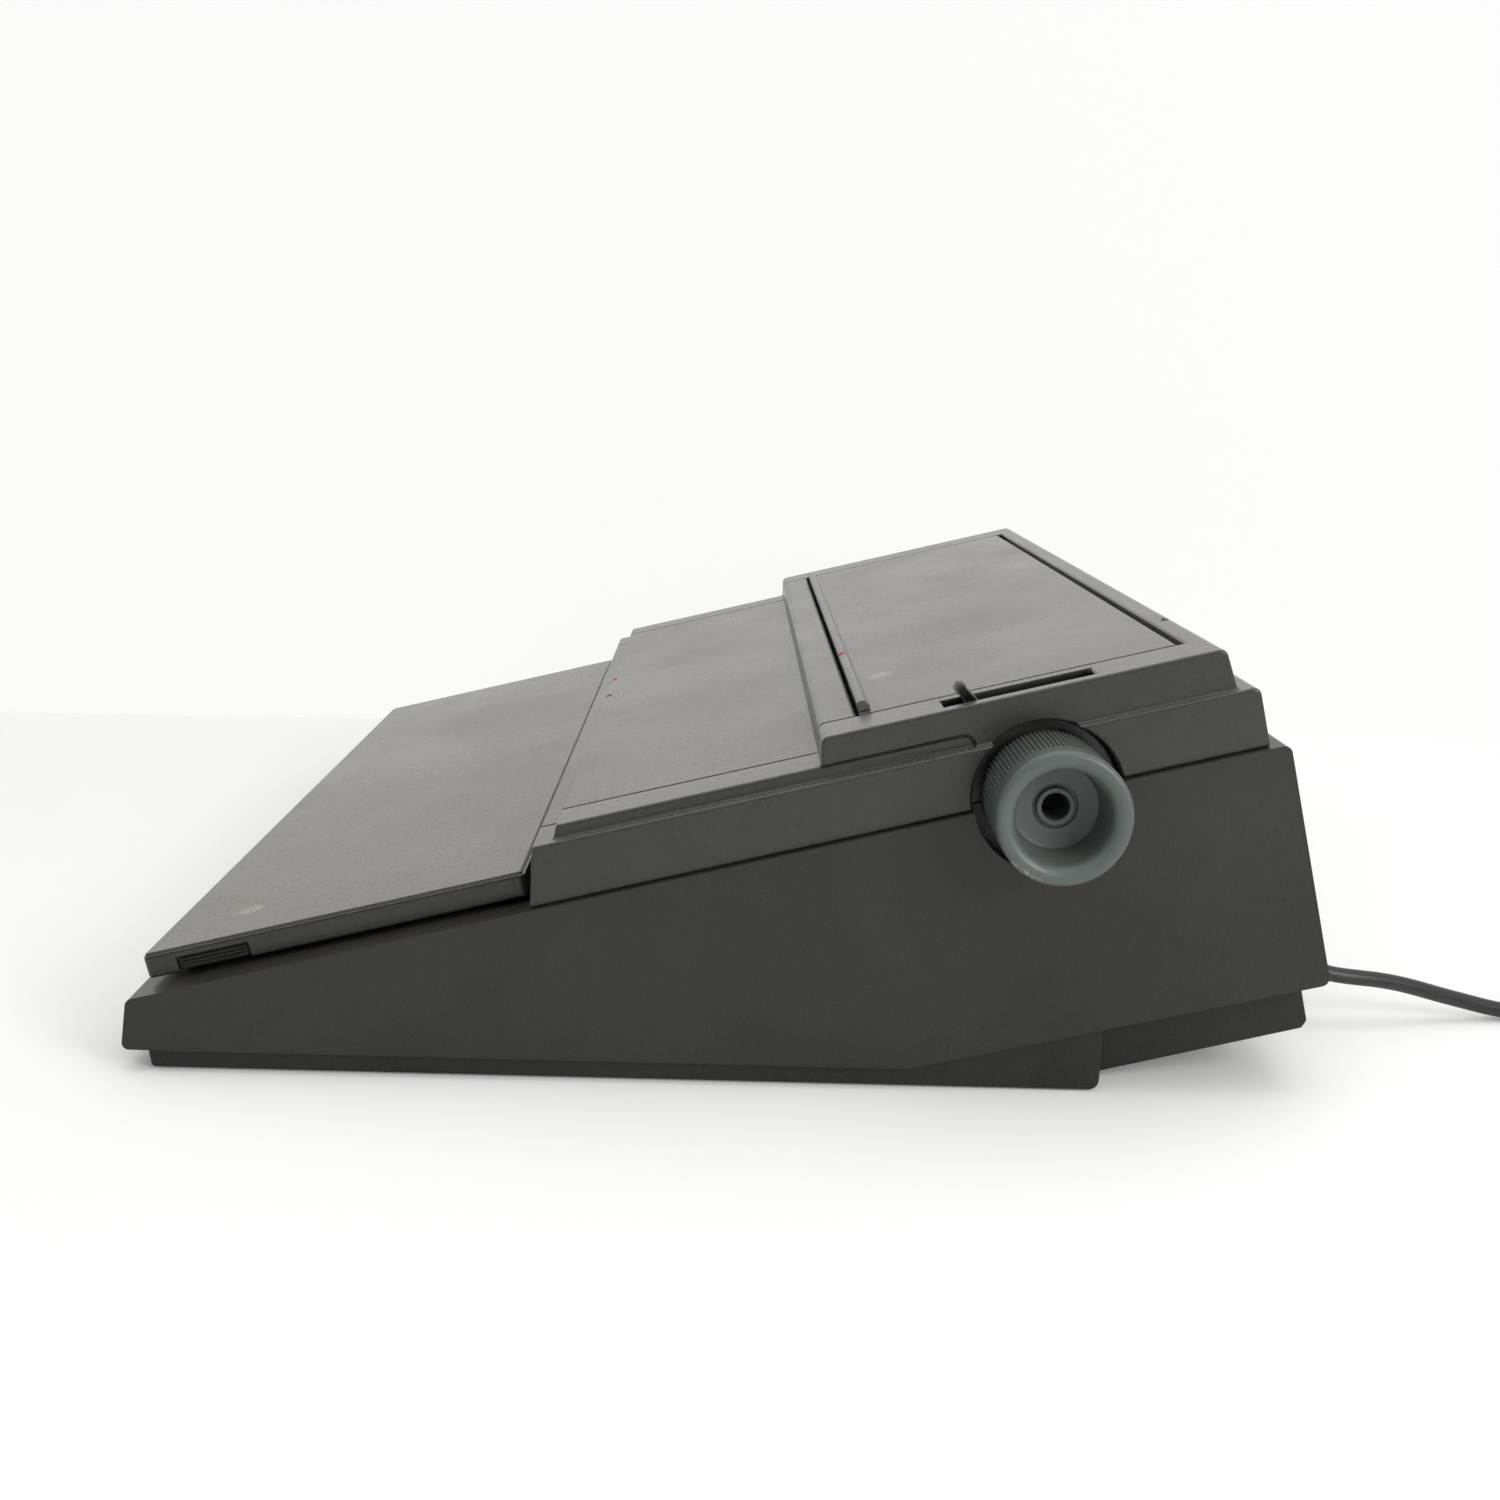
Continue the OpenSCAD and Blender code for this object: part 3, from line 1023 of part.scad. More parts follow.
// A key is its place across and its row in key pitches, and its width in key pitches
module key(k) translate([k[0]*key_pitch, row_s(k[1]), 0]) {
  w = k[2]*key_pitch - key_gap;
  d = key_pitch - key_gap;
  translate([0, 0, key_foot]) linear_extrude(2) square([w, d], center = true);
  translate([0, 0, key_foot + 2 - e]) 
    linear_extrude(key_top - key_foot - 2, scale = [1 - 4.6/w, 1 - 4.6/d], slices = 1) square([w, d], center = true);
  translate([0, 0, stem_foot]) linear_extrude(key_foot - stem_foot + e) square(stem, center = true);
}
module keys(list) sloped() for (k = list) key(k);

number_row = [for (i = [0:12]) [i - 7, 4, 1]];
upper_row = [for (i = [0:11]) [i - 5.5, 3, 1]];
home_row = [for (i = [0:10]) [i - 5.25, 2, 1]];
lower_row = [for (i = [0:9]) [i - 4.75, 1, 1]];
space_place = [-0.5, 0, 9];
return_place = [6.375, 2, 2.25];
left_shift_place = [-6.375, 1, 2.25];
right_shift_place = [6.125, 1, 2.75];
lock_place = [-6.625, 2, 1.75];
backspace_place = [6.5, 4, 2];
side_keys = [for (x = [-8.5, 8.5], row = [0:4]) [x, row, 1]];
function_places = concat([[-6.75, 3, 1.5], [6.75, 3, 1.5], [-6.25, 0, 2], [5.5, 0, 2]], side_keys);
all_keys = concat(number_row, upper_row, home_row, lower_row, function_places,
  [space_place, return_place, left_shift_place, right_shift_place, lock_place, backspace_place]);

module number_row_keys() color(key_cream) keys(number_row);
module upper_row_keys() color(key_cream) keys(upper_row);
module home_row_keys() color(key_cream) keys(home_row);
module lower_row_keys() color(key_cream) keys(lower_row);
module space_bar() color(key_cream) keys([space_place]);
module return_key() color(grey) keys([return_place]);
module left_shift_key() color(grey) keys([left_shift_place]);
module right_shift_key() color(grey) keys([right_shift_place]);
module shift_lock_key() color(grey) keys([lock_place]);
module backspace_key() color(grey) keys([backspace_place]);
module function_keys() color(grey) keys(function_places);

base_pan();
main_shell();
upper_casing();
access_cover();
paper_support();
ruler_bar();
keyboard_cover();
cover_latch_left();
cover_latch_right();
rubber_feet();
case_screws();
strain_relief();
mains_lead();
mains_coil();
mains_plug();
power_switch();
power_rocker();
transformer();
main_board();
platen_roller();
platen_shaft();
platen_knob();
platen_gear();
platen_bushes();
feed_motor();
feed_pinion();
pressure_rollers();
pressure_carrier();
paper_chute();
paper_bail();
bail_rollers();
release_lever();
side_frame_left();
side_frame_right();
guide_rods();
carriage_frame();
daisy_wheel();
wheel_motor();
print_hammer();
hammer_coil();
ribbon_cassette();
correction_spool_left();
correction_spool_right();
carriage_motor();
motor_pulley();
idler_pulley();
drive_belt();
keyboard_plate();
keyboard_board();
number_row_keys();
upper_row_keys();
home_row_keys();
lower_row_keys();
space_bar();
return_key();
left_shift_key();
right_shift_key();
shift_lock_key();
backspace_key();
function_keys();
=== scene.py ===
# %% [markdown]
# # A portable electronic typewriter
#
# The CAD model gives every solid its size and place. This lesson dresses it: it takes the CAD
# solids as a fixed frame, softens their moulded edges, builds the pieces that need finer shapes,
# and gives each surface the finish that it has on the real machine.

# %% Load the frame
import json
import math

import bmesh
import bpy
import numpy as np
from mathutils import Matrix, Vector


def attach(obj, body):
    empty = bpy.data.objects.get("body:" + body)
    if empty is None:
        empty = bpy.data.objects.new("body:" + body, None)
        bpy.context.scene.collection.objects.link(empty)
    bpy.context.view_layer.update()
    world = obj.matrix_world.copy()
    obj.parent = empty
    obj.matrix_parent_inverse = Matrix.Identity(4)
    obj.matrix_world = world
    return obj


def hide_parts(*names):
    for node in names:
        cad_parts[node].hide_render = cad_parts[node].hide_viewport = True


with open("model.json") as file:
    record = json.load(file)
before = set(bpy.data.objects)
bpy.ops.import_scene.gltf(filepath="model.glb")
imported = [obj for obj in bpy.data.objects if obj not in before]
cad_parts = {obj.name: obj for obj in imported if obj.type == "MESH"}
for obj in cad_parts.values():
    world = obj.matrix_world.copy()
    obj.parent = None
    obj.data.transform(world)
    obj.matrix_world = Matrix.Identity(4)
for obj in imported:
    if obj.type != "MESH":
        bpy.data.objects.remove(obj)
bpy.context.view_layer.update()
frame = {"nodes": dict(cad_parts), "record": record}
nodes = frame["nodes"]
bodies = frame["record"]["behaviour"]["bodies"]
body_of_node = {node: body for body, group in bodies.items() for node in group}
print("CAD nodes:", len(nodes))

# %% [markdown]
# The camera stands beside the machine: half a metre from its right side, a little above the
# covers, and it looks down by twelve degrees. Its axes were solved from the straight edges of the
# casing, so they are written out as numbers.

# %% Camera
CAMERA_PLACE = (0.7070, 0.0, 0.2089)
CAMERA_RIGHT = (0.00941, 0.99949, 0.03038)
CAMERA_DOWN = (0.20844, 0.02776, -0.97764)
CAMERA_FORWARD = (-0.97798, 0.01553, -0.20808)
LENS_MM = 42.31
SENSOR_MM = 36.0
CLIP_START_M = 0.01


def new_object(name, data):
    """An object that holds data, linked into the scene."""
    thing = bpy.data.objects.new(name, data)
    bpy.context.scene.collection.objects.link(thing)
    return thing


camera_data = bpy.data.cameras.new("camera")
camera_data.sensor_width = SENSOR_MM
camera_data.lens = LENS_MM
camera_data.clip_start = CLIP_START_M
camera = new_object("camera", camera_data)
rough_axes = np.array([CAMERA_RIGHT, np.negative(CAMERA_DOWN), np.negative(CAMERA_FORWARD)]).T
axes, _ = np.linalg.qr(rough_axes)
axes *= np.sign(np.diag(axes.T @ rough_axes))
camera.matrix_world = Matrix.Translation(CAMERA_PLACE) @ Matrix(axes.tolist()).to_4x4()
bpy.context.scene.camera = camera
print("camera at", CAMERA_PLACE)

# %% [markdown]
# Most of the machine is drawn in the deck's own axes: x across, s up the slope and n square to
# it. One small function carries such points into the world, which spares every later cell the
# sine and cosine. The others turn points and faces into a piece that rides on a CAD body.

# %% The slope's axes and new pieces
SLOPE = math.radians(14.4)
MM_PER_M = 1000.0
SHARP_DEGREES = 35.0


def from_slope(x, s, n):
    """World coordinates in metres of points given in millimetres in the deck's axes: x is
    carried over, and s and n are turned about x by the slope."""
    x, s, n = np.broadcast_arrays(np.asarray(x, float), s, n)
    y = s * math.cos(SLOPE) - n * math.sin(SLOPE)
    z = s * math.sin(SLOPE) + n * math.cos(SLOPE)
    return np.stack([x, y, z], axis=-1) / MM_PER_M


def smooth_below(mesh, degrees):
    """Shade a mesh smooth, apart from the edges that bend by more than degrees."""
    mesh.shade_smooth()
    mesh.set_sharp_from_angle(angle=math.radians(degrees))


def new_piece(name, points, faces, finish, body, replaces=(), smooth_degrees=SHARP_DEGREES):
    """A mesh piece from points in metres and faces, which rides on body. Edges that bend by less
    than smooth_degrees are shaded smooth."""
    mesh = bpy.data.meshes.new(name)
    corners = [tuple(int(i) for i in face) for face in faces]
    mesh.from_pydata(np.asarray(points).reshape(-1, 3).tolist(), [], corners)
    work = bmesh.new()
    work.from_mesh(mesh)
    bmesh.ops.recalc_face_normals(work, faces=work.faces)
    work.to_mesh(mesh)
    work.free()
    mesh.materials.append(finish)
    smooth_below(mesh, smooth_degrees)
    piece = new_object(name, mesh)
    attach(piece, body)
    if replaces:
        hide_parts(*replaces)
    return piece


def ring_faces(rings, sides, join_ends=False, cap_ends=False):
    """Quads between closed rings of points, which come one ring after the other. join_ends
    joins the last ring to the first, and cap_ends closes both with one face each."""
    faces = []
    for ring in range(rings if join_ends else rings - 1):
        here, there = ring * sides, (ring + 1) % rings * sides
        for side in range(sides):
            beside = (side + 1) % sides
            faces.append((here + side, here + beside, there + beside, there + side))
    if cap_ends:
        faces += [tuple(range(sides)), tuple(range((rings - 1) * sides, rings * sides))]
    return faces


print("the deck slopes by", round(math.degrees(SLOPE), 1), "degrees")

# %% [markdown]
# Colours are written as the hex values that a picture editor shows. Blender's shaders want
# linear light, so one function turns them. Another function adds a shader node with its
# settings and links, so that each finish reads as a short list.

# %% Colour and shader helpers


def linear(hex_colour):
    """Linear RGBA of an sRGB hex colour: each channel c becomes ((c + 0.055) / 1.055) ** 2.4, or
    c / 12.92 where it is very dark."""
    channels = np.array([int(hex_colour[i : i + 2], 16) for i in (1, 3, 5)]) / 255.0
    curve = np.where(channels <= 0.04045, channels / 12.92, ((channels + 0.055) / 1.055) ** 2.4)
    return (*curve.tolist(), 1.0)


def add(tree, kind, links=None, values=None, **settings):
    """Add a shader node. links joins inputs to other nodes' outputs, values sets inputs by
    name or number, and settings are the node's own properties."""
    shader_node = tree.nodes.new(kind)
    for name, value in settings.items():
        setattr(shader_node, name, value)
    for name, value in (values or {}).items():
        shader_node.inputs[name].default_value = value
    for name, output in (links or {}).items():
        tree.links.new(output, shader_node.inputs[name])
    return shader_node


def new_finish(name):
    """An empty material with its node tree, ready for a shader."""
    material = bpy.data.materials.new(name)
    material.use_nodes = True
    material.node_tree.nodes.clear()
    return material, material.node_tree


def ramp(tree, value, low, high, out_low=0.0, out_high=1.0):
    """value's range from low to high carried over to out_low to out_high, and held beyond."""
    ends = {"From Min": low, "From Max": high, "To Min": out_low, "To Max": out_high}
    return add(tree, "ShaderNodeMapRange", {"Value": value}, ends).outputs["Result"]


def blend_colours(tree, share, first, second):
    """A colour that goes from first to second as share goes from 0 to 1. Each may be a hex
    colour or another node's output."""
    node = add(tree, "ShaderNodeMixRGB", {0: share})
    for place, colour in ((1, first), (2, second)):
        if isinstance(colour, str):
            node.inputs[place].default_value = linear(colour)
        else:
            tree.links.new(colour, node.inputs[place])
    return node.outputs[0]


def times(tree, first, second):
    """The product of an output and another output or a number."""
    node = add(tree, "ShaderNodeMath", {0: first}, operation="MULTIPLY")
    if isinstance(second, (int, float)):
        node.inputs[1].default_value = second
    else:
        tree.links.new(second, node.inputs[1])
    return node.outputs[0]


def larger(tree, first, second):
    """The larger of two outputs."""
    return add(tree, "ShaderNodeMath", {0: first, 1: second}, operation="MAXIMUM").outputs[0]


def mix_shaders(tree, share, first, second):
    """A shader that goes from first to second as share goes from 0 to 1."""
    links = {0: share, 1: first.outputs[0], 2: second.outputs[0]}
    return add(tree, "ShaderNodeMixShader", links)


print("mid grey #808080 in linear light:", round(linear("#808080")[0], 3))

# %% [markdown]
# The casing is ABS, injection moulded in a mould whose steel was eroded with sparks. That
# leaves a fine pebbled grain, under a millimetre from bump to bump, which breaks reflections
# into a soft sheen. A share of each upward face is made paler: partly settled dust, and partly
# painted light, since the tops that the light from above falls on are made lighter in colour.
# Years on a desk add broad smudges, a few specks and small scuffs. All of it is worked out from
# Object coordinates, which are metres here.

# %% Moulded plastic
GRAIN_DEPTH_M = 0.00012
PALE_PLASTIC = "#8f8c84"
DUST_AND_SHEEN = "#aea594"
SPECK = "#b9b6ae"
SCUFF = "#c4c0b6"


def moulded_plastic(name, colour, roughness, grain_mm, grain_height, smudge=0.3, dust_and_sheen=0.0,
                    specks=0.0, scuffs=(), ior=1.5):
    """ABS or another moulded plastic. grain_mm is the distance between bumps of the grain and
    grain_height its bump strength; smudge is the share of uneven roughness and colour,
    dust_and_sheen the share by which upward faces turn paler, partly dust and partly painted
    light on the tops, specks how many cells hold a pale speck, and scuffs lists places in
    metres with a radius where the surface is scratched."""
    material, tree = new_finish(name)
    surface = add(tree, "ShaderNodeTexCoord")
    place = surface.outputs["Object"]

    # The grain: smooth pebbles with a finer noise over them
    grain = add(tree, "ShaderNodeTexNoise", {"Vector": place},
                {"Scale": 800.0 / grain_mm, "Detail": 2.0, "Roughness": 0.55}).outputs["Fac"]
    pebbles = add(tree, "ShaderNodeTexVoronoi", {"Vector": place},
                  {"Scale": 900.0 / grain_mm, "Smoothness": 0.6},
                  feature="SMOOTH_F1").outputs["Distance"]
    height = add(tree, "ShaderNodeMath", {0: grain, 1: pebbles}, operation="ADD")
    bump = add(tree, "ShaderNodeBump", {"Height": height.outputs[0]},
               {"Strength": grain_height, "Distance": GRAIN_DEPTH_M})

    # Broad smudges, some seven centimetres across, and paler tops of the grain
    broad = add(tree, "ShaderNodeTexNoise", {"Vector": place},
                {"Scale": 14.0, "Detail": 5.0, "Roughness": 0.6}).outputs["Fac"]
    smudged = ramp(tree, broad, 0.3, 0.7, 0.0, 0.1 * smudge)
    tone = blend_colours(tree, smudged, colour, PALE_PLASTIC)
    tone = blend_colours(tree, ramp(tree, grain, 0.4, 0.75, 0.0, 0.025), tone, PALE_PLASTIC)

    if dust_and_sheen > 0:
        # Level faces turn paler, unevenly and more so in the grain's dips: partly dust, partly
        #         painted light on the tops
        up = add(tree, "ShaderNodeSeparateXYZ", {0: surface.outputs["Normal"]}).outputs["Z"]
        uneven = ramp(tree, broad, 0.25, 0.75, 0.75 * dust_and_sheen, 1.25 * dust_and_sheen)
        paler_top_share = times(tree, ramp(tree, up, 0.75, 0.97), uneven)
        paler_top_share = times(tree, paler_top_share, ramp(tree, pebbles, 0.1, 0.7, 1.5, 0.5))
        # Painted light: the upward faces' paler colour stands partly for the light on the tops
        tone = blend_colours(tree, paler_top_share, tone, DUST_AND_SHEEN)
    if specks > 0:
        # A few cells hold a speck in their middle, up to a millimetre across
        cells = add(tree, "ShaderNodeTexVoronoi", {"Vector": place}, {"Scale": 95.0})
        chosen = add(tree, "ShaderNodeMath", {0: cells.outputs["Color"]}, {1: 1.0 - specks},
                     operation="GREATER_THAN")
        share = times(tree, ramp(tree, cells.outputs["Distance"], 0.05, 0.018), chosen.outputs[0])
        tone = blend_colours(tree, times(tree, share, 0.5), tone, SPECK)
    for *centre, radius in scuffs:
        # Fine streaks that fade out towards the scuff's radius
        away = add(tree, "ShaderNodeVectorMath", {0: place}, {1: centre}, operation="DISTANCE")
        near = ramp(tree, away.outputs["Value"], radius, 0.4 * radius)
        streaks = add(tree, "ShaderNodeTexNoise", {"Vector": place},
                      {"Scale": 2200.0, "Detail": 1.0, "Distortion": 0.5}).outputs["Fac"]
        share = times(tree, near, ramp(tree, streaks, 0.52, 0.6))
        tone = blend_colours(tree, times(tree, share, 0.8), tone, SCUFF)

    rough = ramp(tree, broad, 0.3, 0.7, roughness - 0.1 * smudge, roughness + 0.1 * smudge)
    inputs = {"Base Color": tone, "Roughness": rough, "Normal": bump.outputs["Normal"]}
    shader = add(tree, "ShaderNodeBsdfPrincipled", inputs, {"IOR": ior})
    add(tree, "ShaderNodeOutputMaterial", {"Surface": shader.outputs["BSDF"]})
    return material


# Fine pebbled grain and a soft sheen. The upper casing's tops are painted paler than the
# shell's, and the shell is the same ABS made darker: painted shade on its steep sides and on
# its deck strip
casing_abs = moulded_plastic("abs_charcoal_spark_grain", "#232322", 0.29, 0.8, 0.26,
                             smudge=0.4, dust_and_sheen=0.22, specks=0.04)
# Painted shade: the shell's darker colour and thin pale share stand for the shade on its sides
shell_abs_painted_shade = moulded_plastic("abs_shell_painted_shade", "#1a1a19", 0.34, 0.8, 0.26,
                            smudge=0.4, dust_and_sheen=0.03, specks=0.05, ior=1.42)
# The covers have a coarser grain, and hands have left smudges and two scuffs, which are given
# as x, y, z and radius
cover_scuffs = [(0.1729, -0.1474, 0.0393, 0.0060), (0.1265, 0.0518, 0.1122, 0.0060)]
cover_abs = moulded_plastic("abs_cover_coarse_grain", "#1e1e1d", 0.29, 0.9, 0.34,
                            smudge=0.6, dust_and_sheen=0.2, specks=0.06, scuffs=cover_scuffs, ior=1.48)
# The tray and the inner mouldings are duller and a little darker
base_abs = moulded_plastic("abs_base_dull", "#121211", 0.5, 0.8, 0.3,
                           smudge=0.4, dust_and_sheen=0.04, specks=0.04, ior=1.4)
# Smooth black, for the lever, the switch and the ribbon case
black_abs = moulded_plastic("abs_black_smooth", "#1b1b1b", 0.36, 0.7, 0.1, dust_and_sheen=0.05)
# Grey-green knob, satin, with pale wear low on its lip
lip_scuffs = [(0.2355, 0.0808, 0.0768, 0.0028), (0.2355, 0.0845, 0.0742, 0.0034),
              (0.2355, 0.0879, 0.0726, 0.0026)]
knob_abs = moulded_plastic("abs_knob_grey_green", "#4a514e", 0.4, 0.5, 0.12,
                           smudge=0.4, dust_and_sheen=0.06, specks=0.03, scuffs=lip_scuffs)
# Key caps are doubly shot and worn smooth
key_cap_abs = moulded_plastic("abs_key_cap_grey", "#a19e92", 0.45, 0.5, 0.15)
key_cap_dark_abs = moulded_plastic("abs_key_cap_dark", "#5c5f61", 0.45, 0.5, 0.15)
# Inks and paint are matt, and have next to no grain
legend_ink = moulded_plastic("ink_legend_black", "#1d1d1f", 0.7, 0.4, 0.05, smudge=0.2)
legend_pale = moulded_plastic("ink_legend_white", "#d9d8d2", 0.5, 0.4, 0.05, smudge=0.2)
mark_red = moulded_plastic("paint_mark_red", "#b5302b", 0.7, 0.4, 0.1, smudge=0.5)
# Natural nylon is waxy and cream; ground rubber is matt
nylon = moulded_plastic("nylon_natural", "#d8d3c2", 0.42, 0.8, 0.05)
rubber = moulded_plastic("rubber_black_ground", "#1c1c1b", 0.7, 0.35, 0.25)
# The cord's sheath has a soft gloss and hardly any grain
cord_pvc = moulded_plastic("pvc_cord_sheath", "#171717", 0.42, 0.6, 0.06)
# Glass cloth and resin under green lacquer
board_laminate = moulded_plastic("fr4_solder_mask_green", "#2c6b46", 0.32, 0.8, 0.1, smudge=0.4)
print("materials so far:", len(bpy.data.materials))

# %% [markdown]
# The mechanism is mostly zinc-plated sheet steel and turned bar. Their surface is mottled
# without a direction, more finely on ground and turned parts, and the bumps are shallow.

# %% Metals
MOTTLING_DEPTH_M = 0.0001


def metal(name, colour, roughness, mottling_mm):
    """Plated or turned metal, whose roughness wanders with a noise of mottling_mm."""
    material, tree = new_finish(name)
    place = add(tree, "ShaderNodeTexCoord").outputs["Object"]
    spots = add(tree, "ShaderNodeTexNoise", {"Vector": place},
                {"Scale": 1000.0 / mottling_mm, "Detail": 4.0}).outputs["Fac"]
    rough = ramp(tree, spots, 0.3, 0.7, roughness - 0.08, roughness + 0.1)
    bump = add(tree, "ShaderNodeBump", {"Height": spots},
               {"Strength": 0.1, "Distance": MOTTLING_DEPTH_M})
    inputs = {"Roughness": rough, "Normal": bump.outputs["Normal"]}
    shader = add(tree, "ShaderNodeBsdfPrincipled", inputs,
                 {"Metallic": 1.0, "Base Color": linear(colour)})
    add(tree, "ShaderNodeOutputMaterial", {"Surface": shader.outputs["BSDF"]})
    return material


# Plated sheet, with the plating's broad mottling
zinc_steel = metal("steel_zinc_plated", "#b9bbbd", 0.34, 2.5)
# Ground bar, brighter and finer
ground_steel = metal("steel_ground_bar", "#c4c5c8", 0.2, 1.2)
# The platen's shaft is coloured near black as painted shade, so that the knob's deep bore
# looks dark
bore_shade_steel = metal("steel_painted_bore_shade", "#232323", 0.5, 1.5)
# Turned brass, for the pinion
brass = metal("brass_turned", "#c9a75c", 0.28, 1.0)
# Wound wire under varnish
copper = metal("copper_wound_varnished", "#a4613a", 0.4, 0.5)
print("materials so far:", len(bpy.data.materials))

# %% [markdown]
# The mains lead is one fixed length of round cord. It leaves the tapering sleeve at the back,
# sags to the table, and most of it lies wound in a tied coil behind the machine, where the
# machine hides it. The listed points of the loose stretch are joined by a smooth curve, and
# the coil is worked out: its radius goes in and out while it climbs one layer at each turn back.

# %% The mains lead's route
LEAD_MM = 5.4
SLEEVE_FOOT = (146.5, 180.4, -19.4)
SLEEVE_MM = 24.0
GLAND_DIP = math.radians(16.0)
COIL_START = (145.5, 322.0)
COIL_SHIFT = 1.2
COIL_INNER = 24.0
TURN_PITCH = 5.95
COIL_TURNS = 8.25
LAYER_TURNS = 2.25
TURNS_BACK = (2.0, 4.25, 6.5)
CLIMB_TURNS = 0.5
STEPS_PER_TURN = 48
TAIL_MM = 70.0
TAIL_STEPS = 14
TAIL_RISE_FROM, TAIL_RISE_SHARE = 0.28, 0.7
PLUG_REACH = 75.4
PLUG_HEIGHT = 7.2

sleeve_dir = np.array([0.0, math.cos(GLAND_DIP), -math.sin(GLAND_DIP)])
sleeve_foot = MM_PER_M * from_slope(*SLEEVE_FOOT)
sleeve_end = sleeve_foot + SLEEVE_MM * sleeve_dir
coil_start = np.array([*COIL_START, LEAD_MM / 2])
coil_centre = coil_start + [COIL_INNER + 2 * TURN_PITCH, 0.0, 0.0]
# The loose stretch's points on its way down and over the table: x, y and z in millimetres
loose = [
    [146.4, 210, 17.9], [145.7, 216, 17.1], [144.6, 222, 16.2], [143.4, 228, 15],
    [142.3, 234, 13.5], [141, 240, 11.7], [139.9, 246, 9.85], [138.7, 252, 8.1],
    [137.6, 258, 6.4], [136.8, 264, 4.8], [136.2, 270, 3.55], [136, 276, 2.9],
    [136.4, 282, 2.7], [137.8, 290, 2.7], [140.4, 298, 2.7], [143.2, 306, 2.7], [145, 314, 2.7],
]


def smooth_curve(knots, steps):
    """A smooth curve through knots: between two neighbours it is the cubic whose slope at each
    knot is half the step from the knot before it to the one after it."""
    knots = np.asarray(knots, float)
    slopes = np.gradient(knots, axis=0)
    t = np.linspace(0, 1, steps, endpoint=False)[:, None]
    h1, h2 = 2 * t**3 - 3 * t**2 + 1, t**3 - 2 * t**2 + t
    h3, h4 = 3 * t**2 - 2 * t**3, t**3 - t**2
    parts = [h1 * knots[i] + h2 * slopes[i] + h3 * knots[i + 1] + h4 * slopes[i + 1]
             for i in range(len(knots) - 1)]
    return np.concatenate([*parts, knots[-1:]])


def ease(x):
    """A step from 0 to 1 with level ends: y * y * (3 - 2 * y), with y the x held in 0 to 1."""
    y = np.clip(x, 0, 1)
    return y * y * (3 - 2 * y)


def coil_point(turn):
    """A point of the coil's centreline after so many turns. The radius is COIL_INNER plus
    TURN_PITCH for each turn away from the nearest turn back on the inner side."""
    turn = np.asarray(turn, float)
    away = np.abs(turn - TURNS_BACK[0])
    folded = np.where(away <= LAYER_TURNS, away, np.abs(2 * LAYER_TURNS - away))
    radius = COIL_INNER + TURN_PITCH * folded
    layers = sum(ease((turn - back) / CLIMB_TURNS + 0.5) for back in TURNS_BACK)
    angle = 2 * math.pi * turn
    around = [-radius * np.cos(angle), COIL_SHIFT + radius * np.sin(angle), TURN_PITCH * layers]
    return coil_centre + np.stack(around, axis=-1)


coil_end = coil_point(COIL_TURNS)
rise = PLUG_HEIGHT - coil_end[2]
plug_place = coil_end + [PLUG_REACH, 0.0, rise]
lead_knots = [sleeve_end, sleeve_end + 3 * sleeve_dir, *loose, coil_start - [0, 1.5, 0]]
lead_route = smooth_curve(lead_knots, 4)
turns = np.arange(1, COIL_TURNS * STEPS_PER_TURN + 0.5) / STEPS_PER_TURN
coil_foot = [coil_start, coil_start + [0, COIL_SHIFT, 0]]
coil_route = np.concatenate([coil_foot, coil_point(turns)])
tail_share = np.arange(1, TAIL_STEPS + 1)[:, None] / TAIL_STEPS
tail_rise = rise * ease((tail_share - TAIL_RISE_FROM) / TAIL_RISE_SHARE)
tail_route = coil_end + tail_share * [TAIL_MM, 0, 0] + tail_rise * [0, 0, 1]
cord_route = np.concatenate([lead_route, coil_route, tail_route, [plug_place]]) / MM_PER_M

# %% [markdown]
# A round tube follows the route. A strap holds the coil together: its section is the hull of
# the strands that it runs round.

# %% The cord and its tie
CORD_SIDES = 12
TIE_SIDES = 72
TIE_GAP = 0.1


def round_tube(name, route, radius, sides, finish, body, replaces):
    """A round tube along route: each ring stands square to the route, its side vector level."""
    along = np.gradient(route, axis=0)
    along /= np.linalg.norm(along, axis=1)[:, None]
    level = np.cross(along, [0.0, 0.0, 1.0])
    level /= np.linalg.norm(level, axis=1)[:, None]
    upward = np.cross(level, along)
    angle = np.linspace(0, 2 * math.pi, sides, endpoint=False)[:, None]
    spokes = np.cos(angle) * level[:, None] + np.sin(angle) * upward[:, None]
    rings = route[:, None] + radius * spokes
    faces = ring_faces(len(route), sides, cap_ends=True)
    return new_piece(name, rings, faces, finish, body, replaces, smooth_degrees=60.0)


